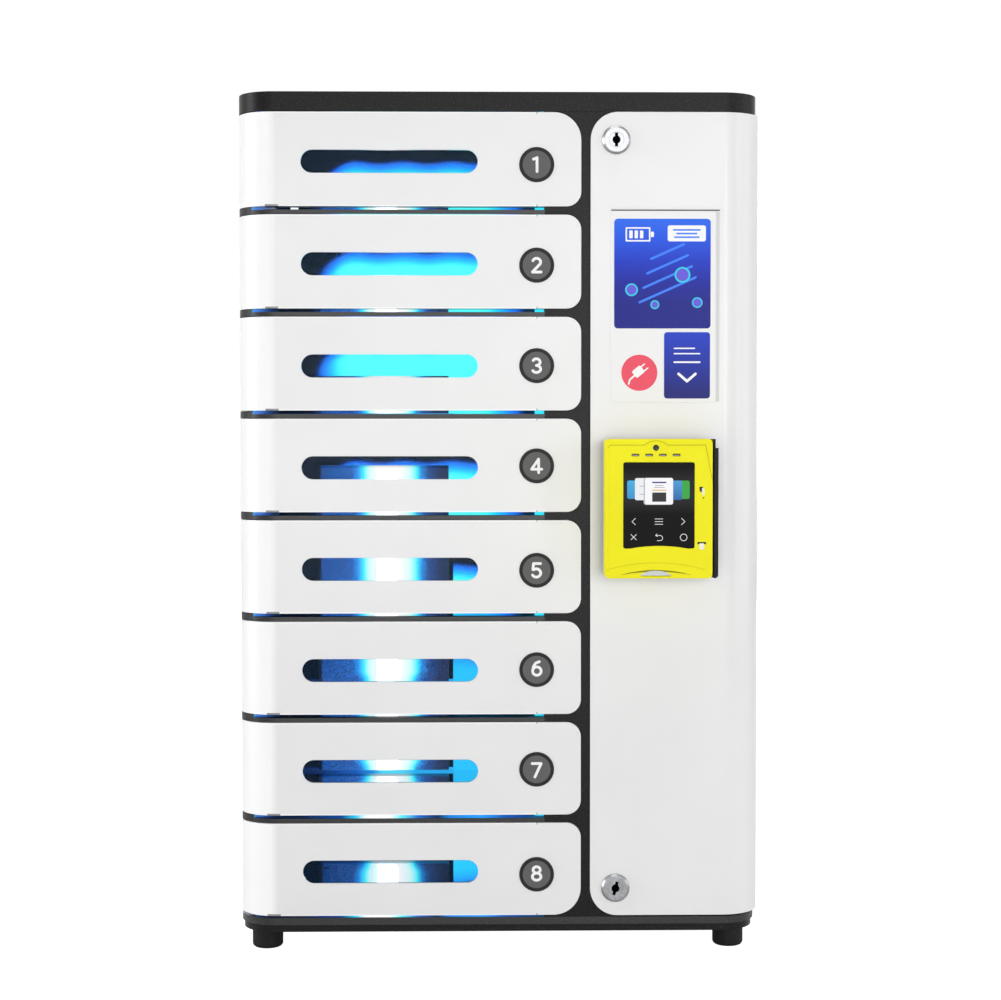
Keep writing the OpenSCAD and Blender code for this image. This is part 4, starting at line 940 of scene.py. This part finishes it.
for name, draw, x, z, proud, look in (
        ("swipe_mark", swipe_mark, 40.2, 16.5, -0.02, pictogram),
        ("swipe_card", lambda bm: card(bm, 2.2, 6.4, 0.4, 0.9, -0.6, 6), 40.2, 16.5, 0.05, pictogram_white),
        ("insert_mark", lambda bm: card(bm, 8, 2.0, 0.3, 0, 2.6), 39.8, -34.5, 0, pictogram),
        ("insert_card", lambda bm: card(bm, 4.4, 5.6, 0.4, 0, -0.4), 39.8, -34.5, 0.05, pictogram_white)):
    mark(f"terminal_{name}", draw, (cover.x + x * MM, cover_front - proud * MM, cover.z + z * MM), 0.06,
         "service_body", look)

# ------------------------------------------------------------ mains inlet pins

inlet = middle("power_inlet")
PIN = (2 * MM, 14 * MM, 4 * MM)
pin_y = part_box("power_inlet")[1].y - 12.5 * MM
pins = bmesh.new()
for dx, dz in ((-7, -2), (7, -2), (0, 2)):
    blade = bmesh.ops.create_cube(pins, size=1)["verts"]
    bmesh.ops.scale(pins, verts=blade, vec=PIN)
    bmesh.ops.translate(pins, verts=blade, vec=(inlet.x + dx * MM, pin_y, inlet.z + dz * MM))
bmesh.ops.bevel(pins, geom=pins.edges, offset=0.4 * MM, segments=2, profile=0.5, affect="EDGES", material=-1)
as_piece("power_inlet_pins", pins, "cabinet", zinc)

# ------------------------------------------------------------ floor, light and camera

SENSOR_MM = 36
PHOTO_PX, FOCAL_PX = 1001, 1975.56  # the photograph's width and the focal length, in its pixels
VIEW_YAW, VIEW_PITCH, VIEW_ROLL = (math.radians(a) for a in (1.008, -1.857, -0.026))
VIEW_X, VIEW_DISTANCE, VIEW_HEIGHT = -0.03107, 1.86714, 0.49391  # the distance is from door 4's face


def camera_view():
    """The photograph's viewpoint: in front, a little above half height, looking down a little."""
    data = bpy.data.cameras.new("camera")
    data.sensor_width = SENSOR_MM
    data.lens = SENSOR_MM * FOCAL_PX / PHOTO_PX
    data.clip_start, data.clip_end = 0.05, 50
    camera = bpy.data.objects.new("camera", data)
    bpy.context.scene.collection.objects.link(camera)
    place = Vector((VIEW_X, face_y("door_4") - VIEW_DISTANCE, VIEW_HEIGHT))
    camera.matrix_world = (Matrix.Translation(place) @ Matrix.Rotation(-VIEW_YAW, 4, "Z")
                           @ Matrix.Rotation(math.pi / 2 + VIEW_PITCH, 4, "X")
                           @ Matrix.Rotation(VIEW_ROLL, 4, "Z"))
    bpy.context.scene.camera = camera


def softbox(name, place, aim_height, size, power):
    """A rectangular lamp that points at a height on the locker's middle line."""
    data = bpy.data.lights.new(name, "AREA")
    data.shape, data.size, data.size_y, data.energy = "RECTANGLE", *size, power
    light = bpy.data.objects.new(name, data)
    way = Vector((0, 0, aim_height)) - Vector(place)
    light.matrix_world = Matrix.Translation(place) @ way.to_track_quat("-Z", "Y").to_matrix().to_4x4()
    bpy.context.scene.collection.objects.link(light)


def seen_rays(tree):
    """One for rays that a viewer sees directly, in gloss or through glass."""
    path = add(tree, "LightPath")
    seen = add(tree, "Math", [path["Is Camera Ray"], path["Is Glossy Ray"]], operation="MAXIMUM")[0]
    return add(tree, "Math", [seen, path["Is Transmission Ray"]], operation="MAXIMUM")[0]


def studio():
    """A white sweep: the floor shows plain white to the camera, even in the locker's shadow, and the backdrop
    is plain white.
    """
    world = bpy.data.worlds.new("studio")
    bpy.context.scene.world = world
    world.use_nodes = True
    tree = world.node_tree
    level = add(tree, "MapRange", {"Value": seen_rays(tree), "To Min": 0.34, "To Max": 1.0})[0]
    background = tree.nodes["Background"]
    feed(background, Color=(1, 1, 1, 1), Strength=level)
    bm = bmesh.new()
    bmesh.ops.create_grid(bm, x_segments=1, y_segments=1, size=6)
    mesh = bpy.data.meshes.new("floor")
    bm.to_mesh(mesh)
    bm.free()
    floor = bpy.data.objects.new("floor", mesh)
    bpy.context.scene.collection.objects.link(floor)
    material, tree, shader, place = finish("white_studio_floor", 0.8, Specular_IOR_Level=0.1)
    colour = ramp(tree, grain(tree, place, 300, 1), [(0.0, "#ececec"), (1.0, "#f0f0f0")])
    direct = add(tree, "LightPath")["Is Camera Ray"]
    lift = add(tree, "MapRange", {"Value": direct, "To Min": 0.25, "To Max": 1.0})[0]
    lift = add(tree, "Math", [seen_rays(tree), lift], operation="MULTIPLY")[0]
    feed(shader, Base_Color=colour, Emission_Color=(1, 1, 1, 1), Emission_Strength=lift)
    mesh.materials.append(material)
    for name, *lamp in (("key", (-3.94, -0.69, 0.75), 0.42, (1.6, 2.4), 66),
                        ("front", (0.3, -4.5, 0.4), 0.38, (3.0, 2.2), 58),
                        ("front_right", (1.44, -3.95, 0.5), 0.38, (2.4, 2.2), 22),
                        ("strip", (1.15, -3.8, 0.8), 0.4, (0.35, 1.0), 5),
                        ("fill", (3.25, -2.35, 0.8), 0.42, (1.0, 2.0), 14),
                        ("right", (3.9, -0.7, 0.8), 0.42, (1.6, 2.2), 17),
                        ("top", (0, -0.3, 3.2), 0.5, (1.6, 1.2), 18),
                        ("back", (0.8, 3.6, 1.4), 0.42, (2.4, 2.2), 60)):
        softbox(name, *lamp)
    bpy.context.scene.view_settings.view_transform = "Standard"


camera_view()
studio()
